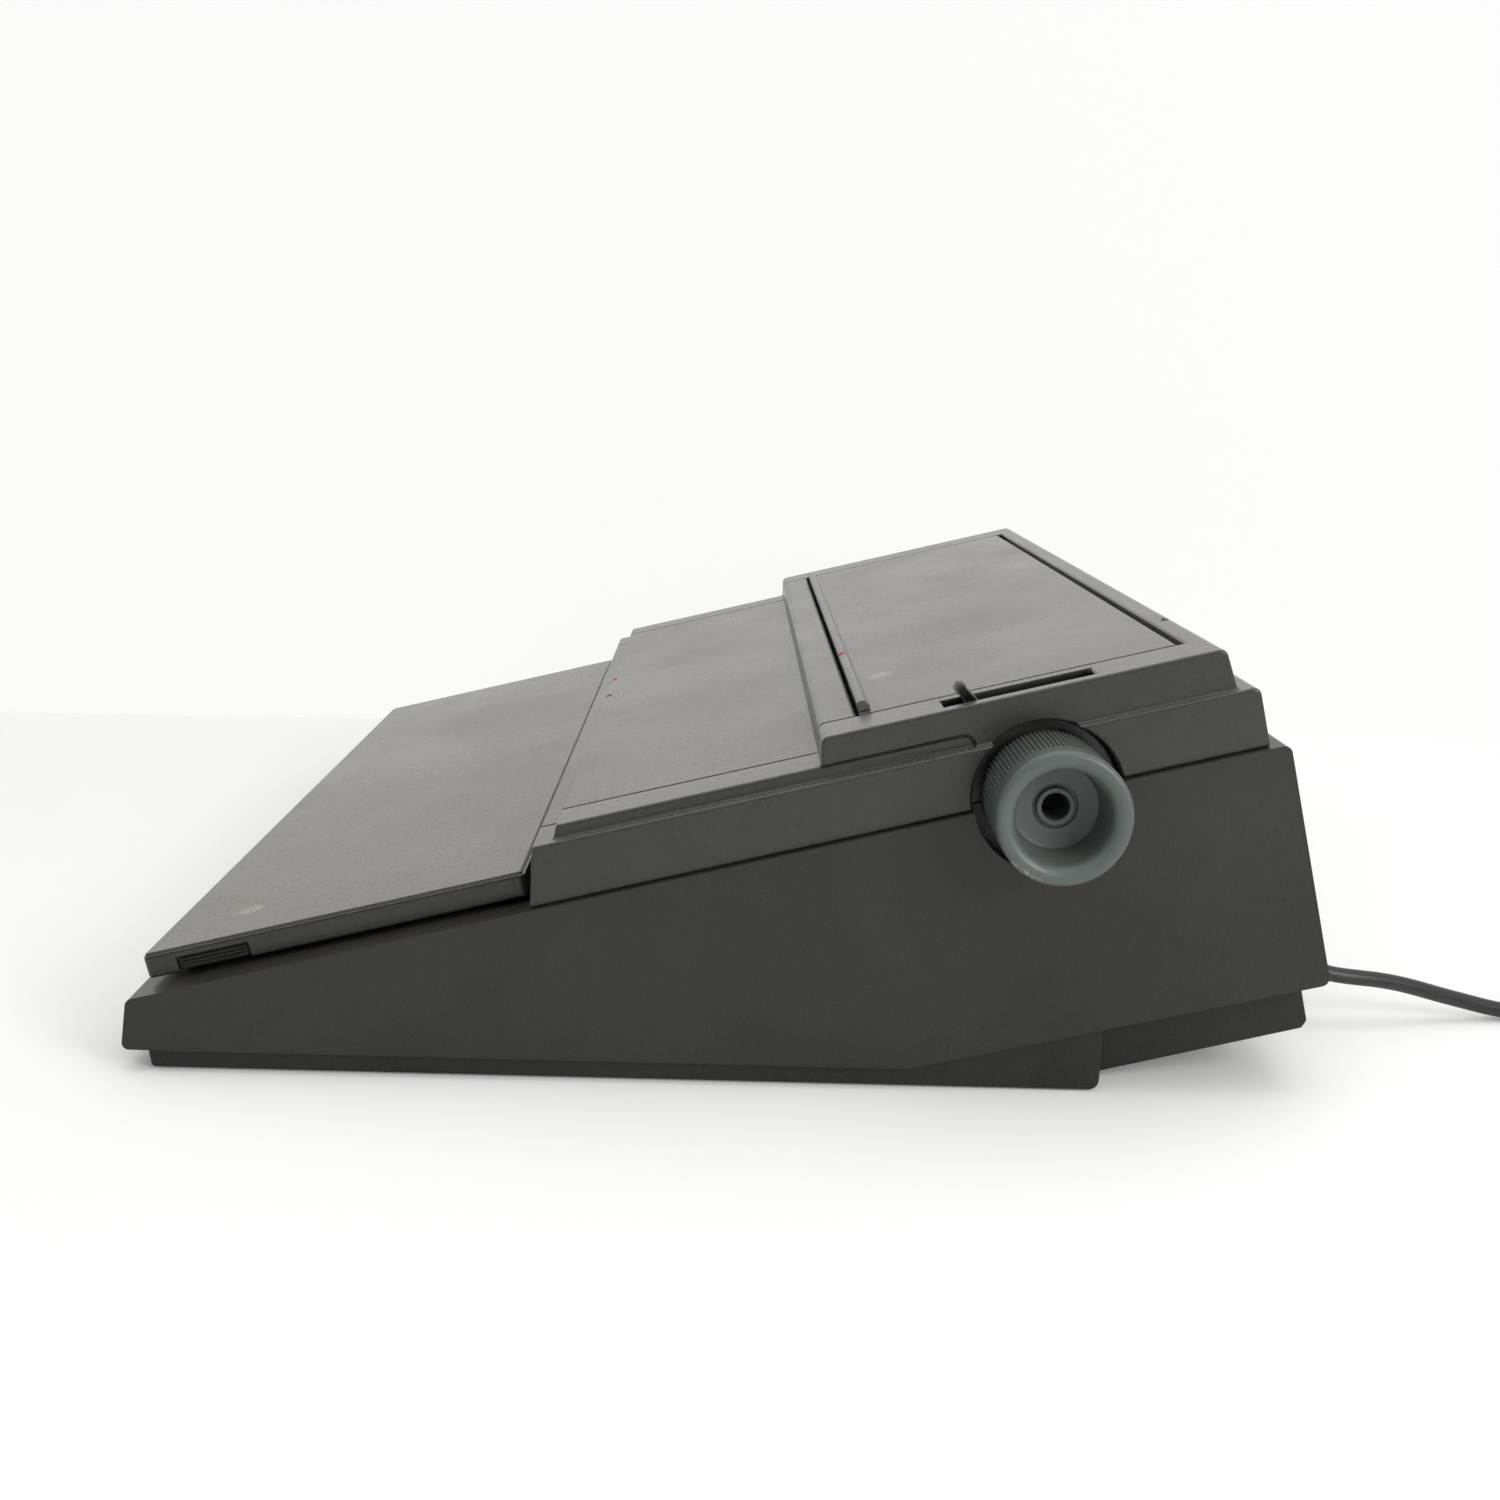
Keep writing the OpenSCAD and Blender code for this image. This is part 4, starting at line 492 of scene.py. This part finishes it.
def coil_tie(turn_share, width, thickness):
    """A strap round the coil's strands: the hull of their sections at one angle, as a closed
    band. Each point is the strand furthest in its direction plus the strand's radius."""
    strands = coil_point(np.arange(0, 8) + turn_share)
    angle = 2 * math.pi * turn_share
    outward = np.array([-math.cos(angle), math.sin(angle), 0.0])
    across = np.array([outward[1], -outward[0], 0.0])
    flat = np.stack([(strands - coil_centre) @ outward, strands[:, 2]], axis=1)
    angles = np.linspace(0, 2 * math.pi, TIE_SIDES, endpoint=False)
    heading = np.stack([np.cos(angles), np.sin(angles)], axis=1)
    furthest = flat[np.argmax(heading @ flat.T, axis=1)]
    outside = TIE_GAP + thickness
    rings = []
    for swell, side in ((TIE_GAP, -1), (outside, -0.8), (outside, 0.8), (TIE_GAP, 1)):
        loop = furthest + (LEAD_MM / 2 + swell) * heading
        loop[:, 1] = np.maximum(loop[:, 1], TIE_GAP + 0.3 * swell)
        middle = coil_centre * [1, 1, 0] + loop[:, :1] * outward + loop[:, 1:] * [0, 0, 1]
        rings.append(middle + side * width / 2 * across)
    faces = ring_faces(len(rings), TIE_SIDES, join_ends=True)
    return new_piece("cord_tie", np.array(rings) / MM_PER_M, faces, black_abs,
                     body_of_node["mains_coil"])


cord = round_tube("mains_cord", cord_route, LEAD_MM / 2 / MM_PER_M, CORD_SIDES, cord_pvc,
                  body_of_node["mains_coil"], ["mains_lead", "mains_coil"])
tie = coil_tie(turn_share=0.25, width=7.0, thickness=1.0)
print("cord faces:", len(cord.data.polygons), "tie faces:", len(tie.data.polygons))

# %% [markdown]
# The CAD solids have knife-sharp edges. A moulding never does: its steel mould has small radii,
# and they draw the bright lines that make a casing look real. A copy of each CAD mesh is merged
# and its flat faces are joined up, and a bevel then rounds what is left of the edges. The plug
# is such a moulding too, so the cord is handed over here, with its plug and its tie.

# %% Rounded copies of the mouldings
WELD_M = 2e-6
BEVEL_SEGMENTS = 3
BEVEL_DEGREES = 28.0
FULL_AREA_WEIGHT = 100
PLUG_BODY_MM = 35.5


def rounded_moulding(node, radius_mm, finish, join_degrees=0.4, clamp=False):
    """A copy of a CAD node with its sharp edges rounded: doubles are merged, triangles that lie
    within join_degrees of one plane are joined, and every edge that bends by more than
    BEVEL_DEGREES gets radius_mm, less where clamp is set and the edges lie close together. The
    normals are then weighted by area, so large faces stay flat."""
    mesh = nodes[node].data.copy()
    work = bmesh.new()
    work.from_mesh(mesh)
    bmesh.ops.remove_doubles(work, verts=work.verts, dist=WELD_M)
    bmesh.ops.dissolve_limit(work, angle_limit=math.radians(join_degrees), verts=work.verts,
                             edges=work.edges)
    work.to_mesh(mesh)
    work.free()
    mesh.materials.clear()
    mesh.materials.append(finish)
    piece = new_object(node + "_moulding", mesh)

    bevel = piece.modifiers.new("edge_radius", "BEVEL")
    bevel.width = radius_mm / MM_PER_M
    bevel.segments = BEVEL_SEGMENTS
    bevel.limit_method = "ANGLE"
    bevel.angle_limit = math.radians(BEVEL_DEGREES)
    bevel.use_clamp_overlap = clamp
    rounded = piece.evaluated_get(bpy.context.evaluated_depsgraph_get())
    piece.data = bpy.data.meshes.new_from_object(rounded)
    piece.modifiers.clear()

    smooth_below(piece.data, SHARP_DEGREES)
    weights = piece.modifiers.new("flat_faces", "WEIGHTED_NORMAL")
    weights.keep_sharp, weights.weight = True, FULL_AREA_WEIGHT
    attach(piece, body_of_node[node])
    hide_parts(node)
    return piece


# Edge radius in millimetres, finish, and for the shell, no joining and a clamped bevel
mouldings = {
    "main_shell": (0.8, shell_abs_painted_shade, 0.0, True),
    "upper_casing": (0.9, casing_abs),
    "access_cover": (0.5, cover_abs),
    "paper_support": (0.5, cover_abs),
    "keyboard_cover": (0.8, cover_abs),
    "base_pan": (0.7, base_abs),
    "ruler_bar": (0.25, cover_abs),
    "cover_latch_left": (0.2, base_abs),
    "cover_latch_right": (0.2, base_abs),
    "power_switch": (0.3, black_abs),
    "power_rocker": (0.3, black_abs),
    "ribbon_cassette": (0.4, black_abs),
    "transformer": (0.4, zinc_steel),
    "strain_relief": (0.25, cord_pvc),
    "mains_plug": (0.8, cord_pvc),
}
made = {node: rounded_moulding(node, *choice) for node, choice in mouldings.items()}

# The plug's two pins are bare steel: the faces beyond the plug's front
plug = made["mains_plug"]
plug.data.materials.append(ground_steel)
for face in plug.data.polygons:
    if face.center.x * MM_PER_M > plug_place[0] + PLUG_BODY_MM:
        face.material_index = 1
print("mouldings:", len(made))

# %% [markdown]
# The platen knob is one turned outline: a barrel with 88 ribs, a smooth rounded lip, a funnel
# mouth, and a collar round the bore deep inside. Only the barrel's radius changes with the
# angle, by a flat-topped wave.

# %% Platen knob
PLATEN_S, PLATEN_N = 115.0, 64.7
KNOB_RIBS = 88
STEPS_PER_RIB = 10
GROOVE_MM = 0.62


def arc(centre_r, centre_x, radius, start, end, steps):
    """An arc of the outline, as (radius, x) points, from start to end degrees."""
    angle = np.radians(np.linspace(start, end, steps))
    points = [centre_r + radius * np.cos(angle), centre_x + radius * np.sin(angle)]
    return np.stack(points, axis=1).tolist()


# The outline's (radius, x) points, from the bore over the outside and back down the mouth
hub = [[4.0, 203.0], [18.0, 203.0]]
barrel = [[18.6, 203.5], [19.0, 203.9], *[[19.0, x] for x in np.linspace(205, 226.4, 6)],
          [18.9, 226.9]]
lip = [[19.1, 227.0], [19.25, 227.2], *arc(17.6, 234.35, 1.65, 0, 90, 8)]
funnel = arc(17.15, 232.3, 3.7, 90, 180, 12)
mouth = [[13.3, 230.5], [12.7, 220.3], [12.4, 219.7], [12.0, 219.5], [6.7, 219.5], [6.5, 219.3]]
collar = [[6.5, 218.6], [5.6, 218.6], [5.6, 220.0], [5.3, 220.3], [4.3, 220.3], [4.0, 220.0]]
outline = np.array(hub + barrel + lip + funnel + mouth + collar)
ribbed = np.zeros(len(outline))
ribbed[len(hub) : len(hub) + len(barrel)] = 1.0

turn = np.linspace(0, 2 * math.pi, KNOB_RIBS * STEPS_PER_RIB, endpoint=False)
groove = GROOVE_MM * (1.0 - np.clip(0.62 + 0.95 * np.cos(KNOB_RIBS * turn), 0, 1))
radius = outline[:, :1] - ribbed[:, None] * groove
knob_points = from_slope(outline[:, 1:] + 0 * turn, PLATEN_S + radius * np.cos(turn),
                         PLATEN_N + radius * np.sin(turn))
knob_faces = ring_faces(len(outline), len(turn), join_ends=True)
new_piece("knob_ribbed", knob_points, knob_faces, knob_abs, body_of_node["platen_knob"],
          ["platen_knob"], smooth_degrees=40.0)
print("knob faces:", len(knob_faces))

# %% [markdown]
# The paper release lever turns round the platen's axis. Its blade is thin; the part that stands
# out of the slot is wider, hollow on its near side, and has fine ridges round its tip.

# %% Release lever
LEVER_LEAN = math.radians(27.0)
TIP_ALONG, TIP_RADIUS = 38.8, 1.75
TIP_RIDGES = 14
TIP_STEPS = 91
FOOT_ALONG, FOOT_HALF = 31.0, 2.1
SHOULDER_ALONG, SHOULDER_HALF = 35.5, 1.9
BLADE_X = (193.0, 197.0)
RING_SIDES = 96


def lever_point(x, along, across):
    """A point of the lever: along its blade from the platen's axis, and across it."""
    s = PLATEN_S - along * math.sin(LEVER_LEAN) + across * math.cos(LEVER_LEAN)
    return from_slope(x, s, PLATEN_N + along * math.cos(LEVER_LEAN) + across * math.sin(LEVER_LEAN))


def tip_outline(inset, ridge):
    """The raised part's outline, inset by a rim; ridge is the height of the ridges on its tip."""
    angle = np.radians(np.linspace(-90, 90, TIP_STEPS))
    tip_r = TIP_RADIUS - inset + ridge * np.cos(TIP_RIDGES * angle)
    tip = np.stack([TIP_ALONG + tip_r * np.cos(angle), tip_r * np.sin(angle)], axis=1)
    foot = FOOT_ALONG + 1.2 * inset
    low = [[foot, inset - FOOT_HALF], [SHOULDER_ALONG, inset - SHOULDER_HALF]]
    high = [[SHOULDER_ALONG, SHOULDER_HALF - inset], [foot, FOOT_HALF - inset]]
    return np.concatenate([low, tip, high])


# The tip from its far side to the floor of its hollow: x, inset, height of the ridges
tip_loops = [(190.8, 0.4, 0.1), (191.2, 0.1, 0.28), (198.4, 0.1, 0.28), (198.8, 0.25, 0.2),
             (198.8, 0.75, 0.0), (195.2, 0.9, 0.0)]
tip_points = np.stack([lever_point(x, *tip_outline(inset, ridge).T)
                       for x, inset, ridge in tip_loops])
tip_faces = ring_faces(*tip_points.shape[:2], cap_ends=True)
new_piece("lever_tip", tip_points, tip_faces, black_abs, body_of_node["release_lever"])

blade_outline = np.array([(10.0, -3.7), (35.0, -1.8), (35.0, 1.8), (10.0, 3.7)])
blade_points = np.stack([lever_point(x, *blade_outline.T) for x in BLADE_X])
blade_faces = ring_faces(*blade_points.shape[:2], cap_ends=True)
new_piece("lever_blade", blade_points, blade_faces, black_abs, body_of_node["release_lever"])

angle = np.linspace(0, 2 * math.pi, RING_SIDES, endpoint=False)
ring = [(7.07, BLADE_X[0]), (11.0, BLADE_X[0]), (11.0, BLADE_X[1]), (7.07, BLADE_X[1])]
ring_points = np.stack([lever_point(x, r * np.cos(angle), r * np.sin(angle)) for r, x in ring])
collar_faces = ring_faces(len(ring), RING_SIDES, join_ends=True)
new_piece("lever_ring", ring_points, collar_faces, black_abs, body_of_node["release_lever"],
          ["release_lever"])
print("lever faces:", len(tip_faces) + len(blade_faces) + len(collar_faces))

# %% [markdown]
# Under the keyboard cover lie 66 keys. Each cap is built on the box of its CAD solid: a level
# skirt, sides that taper, a rounded rim, and a top that dips like part of a cylinder so that
# fingers find its middle. The legends are generic, and are laid on the dipped top.

# %% Key caps
KEY_SIDES = 48
KEY_CORNER = 0.22
KEY_SKIRT_N = 62.0
STEM_HALF = 3
TOP_INSET = 2.3
RIM_INSET = 2.5
DISH_MM = 0.9
DISH_REACH = 8.0
WIDE_HALF = 12
LEGEND_LEFT = 4.0
LETTER_MM, LETTER_DROP = 4.2, 8.0
WORD_MM, WORD_DROP = 2.3, 7.0
INK_SINK = 0.02


def solids_of(node):
    """The boxes of a node's separate solids in the deck's axes, in millimetres, ordered by x."""
    work = bmesh.new()
    work.from_mesh(nodes[node].data)
    bmesh.ops.remove_doubles(work, verts=work.verts, dist=WELD_M)
    work.verts.ensure_lookup_table()
    seen, boxes = set(), []
    for start in work.verts:
        if start.index in seen:
            continue
        seen.add(start.index)
        group, queue = [], [start]
        while queue:
            vert = queue.pop()
            x, y, z = np.array(vert.co) * MM_PER_M
            group.append((x, y * math.cos(SLOPE) + z * math.sin(SLOPE),
                          z * math.cos(SLOPE) - y * math.sin(SLOPE)))
            for edge in vert.link_edges:
                other = edge.other_vert(vert)
                if other.index not in seen:
                    seen.add(other.index)
                    queue.append(other)
        boxes.append((np.min(group, axis=0), np.max(group, axis=0)))
    work.free()
    return sorted(boxes, key=lambda box: (round(box[0][0]), box[0][1]))


def rounded_square(corner, count):
    """Unit outline of a square whose corners are rounded: cos and sin, each to a power."""
    angle = np.linspace(0, 2 * math.pi, count, endpoint=False) + math.pi / count
    waves = np.stack([np.cos(angle), np.sin(angle)], axis=1)
    return np.sign(waves) * np.abs(waves) ** corner


def dip(x, half):
    """Depth of a key's dished top at x from its middle: DISH_MM * (1 - (over / reach) ** 2) and
    never below 0. over is x, but a wide key's dish is level and rises over its ends alone."""
    reach, over = min(half - TOP_INSET, DISH_REACH), np.abs(x)
    if half > WIDE_HALF:
        over = np.maximum(over - (half - RIM_INSET - reach), 0)
    return np.maximum(DISH_MM * (1.0 - (over / reach) ** 2), 0)


def joined(parts):
    """The points and faces of several meshes as those of one."""
    points, faces, count = [], [], 0
    for part_points, part_faces in parts:
        points.append(part_points)
        faces += [tuple(count + i for i in face) for face in part_faces]
        count += len(part_points)
    return np.concatenate(points), faces


def key_cap(low, high):
    """Points and faces of one key: cap and stem."""
    (x0, s0, foot), (x1, s1, top) = low, high
    middle, half = np.array([x0 + x1, s0 + s1]) / 2, np.array([x1 - x0, s1 - s0]) / 2
    outline = rounded_square(KEY_CORNER, KEY_SIDES)

    # From the skirt's foot up the tapering sides to the rounded rim: inset and height
    sides = [(0.4, KEY_SKIRT_N), (0.0, KEY_SKIRT_N + 0.4), (0.0, KEY_SKIRT_N + 2.0),
             (1.9, top - 0.9), (2.15, top - 0.35), (RIM_INSET, top - 0.05)]
    loops = [np.column_stack([middle + (half - inset) * outline, np.full(KEY_SIDES, n)])
             for inset, n in sides]
    # The dished top, from just inside the rim to near the middle; it starts gently at the rim
    for share in (0.96, 0.85, 0.68, 0.5, 0.3, 0.12):
        flat = (half - RIM_INSET) * share * outline
        drop = dip(flat[:, 0], half[0]) * min(1.0, (1.0 - share) * 6)
        loops.append(np.column_stack([middle + flat, top - 0.05 - drop]))
    post = np.array([[-1, -1], [1, -1], [1, 1], [-1, 1]]) * STEM_HALF + middle
    stem = [np.column_stack([post, np.full(4, n)]) for n in (foot, KEY_SKIRT_N + 0.2)]
    return joined([(np.concatenate(loops), ring_faces(len(loops), KEY_SIDES, cap_ends=True)),
                   (np.concatenate(stem), ring_faces(2, 4, cap_ends=True))])


def flat_word(text, size_mm):
    """Outline of a word as flat points and faces, in millimetres, with its lower left at 0."""
    letters = bpy.data.curves.new("letters", "FONT")
    letters.body, letters.size, letters.resolution_u = text, size_mm, 3
    carrier = new_object("letters", letters)
    mesh = bpy.data.meshes.new_from_object(carrier)
    points = np.array([vert.co[:] for vert in mesh.vertices])
    faces = [tuple(polygon.vertices) for polygon in mesh.polygons]
    bpy.data.objects.remove(carrier)
    bpy.data.curves.remove(letters)
    bpy.data.meshes.remove(mesh)
    return points, faces


def legend(low, high, text):
    """Points and faces of a key's legend, laid on the dished top of the key's box."""
    size, drop = (LETTER_MM, LETTER_DROP) if len(text) == 1 else (WORD_MM, WORD_DROP)
    flat, faces = flat_word(text, size)
    x, s = flat[:, 0] + (low[0] + LEGEND_LEFT), flat[:, 1] + (high[1] - drop)
    middle, half = (low[0] + high[0]) / 2, (high[0] - low[0]) / 2
    return np.column_stack([x, s, high[2] - INK_SINK - dip(x - middle, half)]), faces


legends = {
    "number_row_keys": ["~", *"1234567890-="],
    "upper_row_keys": [*"QWERTYUIOP[]"],
    "home_row_keys": [*"ASDFGHJKL;'"],
    "lower_row_keys": [*"ZXCVBNM,./"],
    "space_bar": [""],
    "return_key": ["RETURN"],
    "left_shift_key": ["SHIFT"],
    "right_shift_key": ["SHIFT"],
    "shift_lock_key": ["LOCK"],
    "backspace_key": ["BACK"],
    "function_keys": ["MARGIN", "SET", "CLEAR", "PITCH", "LINE", "TAB", "CODE", "INDEX", "HALF",
                      "CORR", "REPEAT", "COPY", "STOP", "SPACE"],
}
for node, texts in legends.items():
    is_dark = len(texts[0]) > 2
    finish, ink = (key_cap_dark_abs, legend_pale) if is_dark else (key_cap_abs, legend_ink)
    keys = list(zip(solids_of(node), texts))
    points, faces = joined([key_cap(*box) for box, _ in keys])
    new_piece(node + "_caps", from_slope(*points.T), faces, finish, body_of_node[node],
              [node], smooth_degrees=30.0)
    inked = [legend(*box, text) for box, text in keys if text]
    if inked:
        points, faces = joined(inked)
        new_piece(node + "_legends", from_slope(*points.T), faces, ink, body_of_node[node])
print("keys:", sum(len(texts) for texts in legends.values()))

# %% [markdown]
# A few painted ticks show where the paper's centre and its edges go. Each is a small flat patch
# that follows the surface below it.

# %% Tick marks
# The node that bears the tick, its colour, x, width, and points (s, n), all in millimetres
ticks = {
    "tick_left": ("access_cover", mark_red, -49.0, 4.0,
                  [(-29.2, 83.95), (-27.8, 87.0), (-27.3, 87.4), (-25.9, 87.4)]),
    "tick_middle": ("access_cover", legend_ink, -8.6, 2.2,
                    [(-28.2, 86.2), (-27.6, 87.15), (-27.1, 87.4), (-25.3, 87.4)]),
    "tick_ruler": ("ruler_bar", mark_red, 85.0, 3.6, [(66.92, 98.36), (67.75, 99.0), (69.2, 99.0)]),
    "tick_edge_near": ("upper_casing", legend_ink, 141.0, 2.0, [(170.0, 95.88), (172.2, 95.86)]),
    "tick_edge_far": ("upper_casing", legend_ink, 138.0, 1.2, [(170.8, 95.88), (172.0, 95.86)]),
}
for name, (node, finish, x, width, path) in ticks.items():
    points = [from_slope(x + side * width / 2, s, n) for s, n in path for side in (-1, 1)]
    faces = [(i, i + 1, i + 3, i + 2) for i in range(0, len(points) - 2, 2)]
    new_piece(name, points, faces, finish, body_of_node[node])
print("ticks:", len(ticks))

# %% [markdown]
# The mechanism inside keeps its CAD meshes, so here each of those nodes gets its finish. The
# slots are set on the objects, which leaves the meshes as they are.

# %% Finishes of the CAD nodes that stay
finish_of_node = {
    zinc_steel: ["case_screws", "side_frame_left", "side_frame_right", "pressure_carrier",
                 "feed_motor", "carriage_motor", "wheel_motor", "print_hammer"],
    ground_steel: ["guide_rods", "paper_bail"],
    bore_shade_steel: ["platen_shaft"],
    nylon: ["platen_gear", "platen_bushes", "motor_pulley", "idler_pulley",
            "correction_spool_left", "correction_spool_right"],
    rubber: ["rubber_feet", "platen_roller", "pressure_rollers", "bail_rollers", "drive_belt"],
    base_abs: ["paper_chute", "carriage_frame", "keyboard_plate"],
    black_abs: ["daisy_wheel"],
    brass: ["feed_pinion"],
    copper: ["hammer_coil"],
    board_laminate: ["main_board", "keyboard_board"],
}
for finish, names in finish_of_node.items():
    for name in names:
        for slot in nodes[name].material_slots:
            slot.link = "OBJECT"
            slot.material = finish
bare = [name for name in nodes if not nodes[name].material_slots]
kept = sum(len(names) for names in finish_of_node.values())
print("CAD nodes kept:", kept, "without a slot:", bare)

# %% [markdown]
# The room is white: a table top, and a wall behind it whose lower edge shows as a faint line.
# Both look white because of their colour and of what the camera and reflections alone see, so
# that the light on the machine stays plain. The sky of the room is brighter overhead than at the
# level of the table, as in a room lit from its ceiling.

# %% Room
WHITE = "#fdfdfc"
ROOM_M = 4.0
WALL_FRONT = (-0.3237, -0.4287)
WALL_BACK = (-0.3739, 0.4882)
WALL_RUNS = 4
SKY_LOW, SKY_FULL = 0.12, 1.0
SKY_FULL_AT = 0.8
SKY_MIRRORED = 0.3


def seen_share(tree, mirrored=1.0):
    """1 for rays from the camera or through glass, mirrored for reflected rays, 0 for light."""
    rays = add(tree, "ShaderNodeLightPath").outputs
    direct = larger(tree, rays["Is Camera Ray"], rays["Is Transmission Ray"])
    return larger(tree, direct, times(tree, rays["Is Glossy Ray"], mirrored))


def room_surface(name, corners, colour, share):
    """A flat surface of the room. share is how much of what the camera and the reflections see
    is plain white, which keeps the background pale and lets the shadow through. Seen from its
    back it is clear, so that it never hides the machine."""
    mesh = bpy.data.meshes.new(name)
    mesh.from_pydata(corners, [], [(0, 1, 2, 3)])
    material, tree = new_finish(name)
    diffuse = add(tree, "ShaderNodeBsdfDiffuse", values={"Color": linear(colour)})
    glow = add(tree, "ShaderNodeEmission", values={"Color": linear(WHITE), "Strength": 1.0})
    front = mix_shaders(tree, times(tree, seen_share(tree), share), diffuse, glow)
    is_back = add(tree, "ShaderNodeNewGeometry").outputs["Backfacing"]
    by_camera = add(tree, "ShaderNodeLightPath").outputs["Is Camera Ray"]
    clear = add(tree, "ShaderNodeBsdfTransparent")
    one_sided = mix_shaders(tree, times(tree, by_camera, is_back), front, clear)
    add(tree, "ShaderNodeOutputMaterial", {"Surface": one_sided.outputs[0]})
    mesh.materials.append(material)
    new_object(name, mesh)


wall_run = np.subtract(WALL_BACK, WALL_FRONT)
wall_a = np.array(WALL_FRONT) - WALL_RUNS * wall_run
wall_b = np.array(WALL_BACK) + WALL_RUNS * wall_run
table_corners = [(*wall_a, 0.0), (ROOM_M, -ROOM_M, 0.0), (ROOM_M, ROOM_M, 0.0), (*wall_b, 0.0)]
wall_corners = [(*wall_a, 0.0), (*wall_b, 0.0), (*wall_b, ROOM_M), (*wall_a, ROOM_M)]
surfaces = {
    "table_top": (table_corners, "#f2f2f0", 0.1),
    "white_wall": (wall_corners, "#f6f6f6", 0.9),
}
for name, choice in surfaces.items():
    room_surface(name, *choice)

world = bpy.data.worlds.new("white_room")
bpy.context.scene.world = world
world.use_nodes = True
sky = world.node_tree
sky.nodes.clear()
direction = add(sky, "ShaderNodeTexCoord").outputs["Generated"]
height = add(sky, "ShaderNodeSeparateXYZ", {0: direction}).outputs["Z"]
strength = ramp(sky, height, 0.0, SKY_FULL_AT, SKY_LOW, SKY_FULL)
lit = add(sky, "ShaderNodeBackground", {"Strength": strength}, {"Color": linear("#fbfcfd")})
white = add(sky, "ShaderNodeBackground", values={"Color": linear(WHITE), "Strength": 1.0})
whole_sky = mix_shaders(sky, seen_share(sky, SKY_MIRRORED), lit, white)
add(sky, "ShaderNodeOutputWorld", {"Surface": whole_sky.outputs[0]})
print("room surfaces:", len(surfaces), "sky nodes:", len(sky.nodes))

# %% [markdown]
# Two soft lamps: a large panel overhead, and a smaller one behind the machine on its right,
# which lifts the rear of the side that the camera sees.

# %% Lamps


def soft_lamp(name, place, aim, size, watts):
    """A square soft lamp at place that points at aim."""
    data = bpy.data.lights.new(name, "AREA")
    data.size, data.energy = size, watts
    lamp = new_object(name, data)
    lamp.location = place
    heading = Vector(place) - Vector(aim)
    lamp.rotation_euler = heading.to_track_quat("Z", "Y").to_euler()


soft_lamp("ceiling_panel", (0.1, 0.1, 1.8), (0.05, 0.0, 0.0), 1.6, 11.0)
soft_lamp("rear_right_panel", (0.85, 0.65, 0.45), (0.2, 0.15, 0.08), 0.4, 5.0)
print("lamps:", len(bpy.data.lights))

# %% [markdown]
# Colours are shown as they are written.

# %% View settings and the last line
bpy.context.scene.view_settings.view_transform = "Standard"
print("view transform:", bpy.context.scene.view_settings.view_transform)
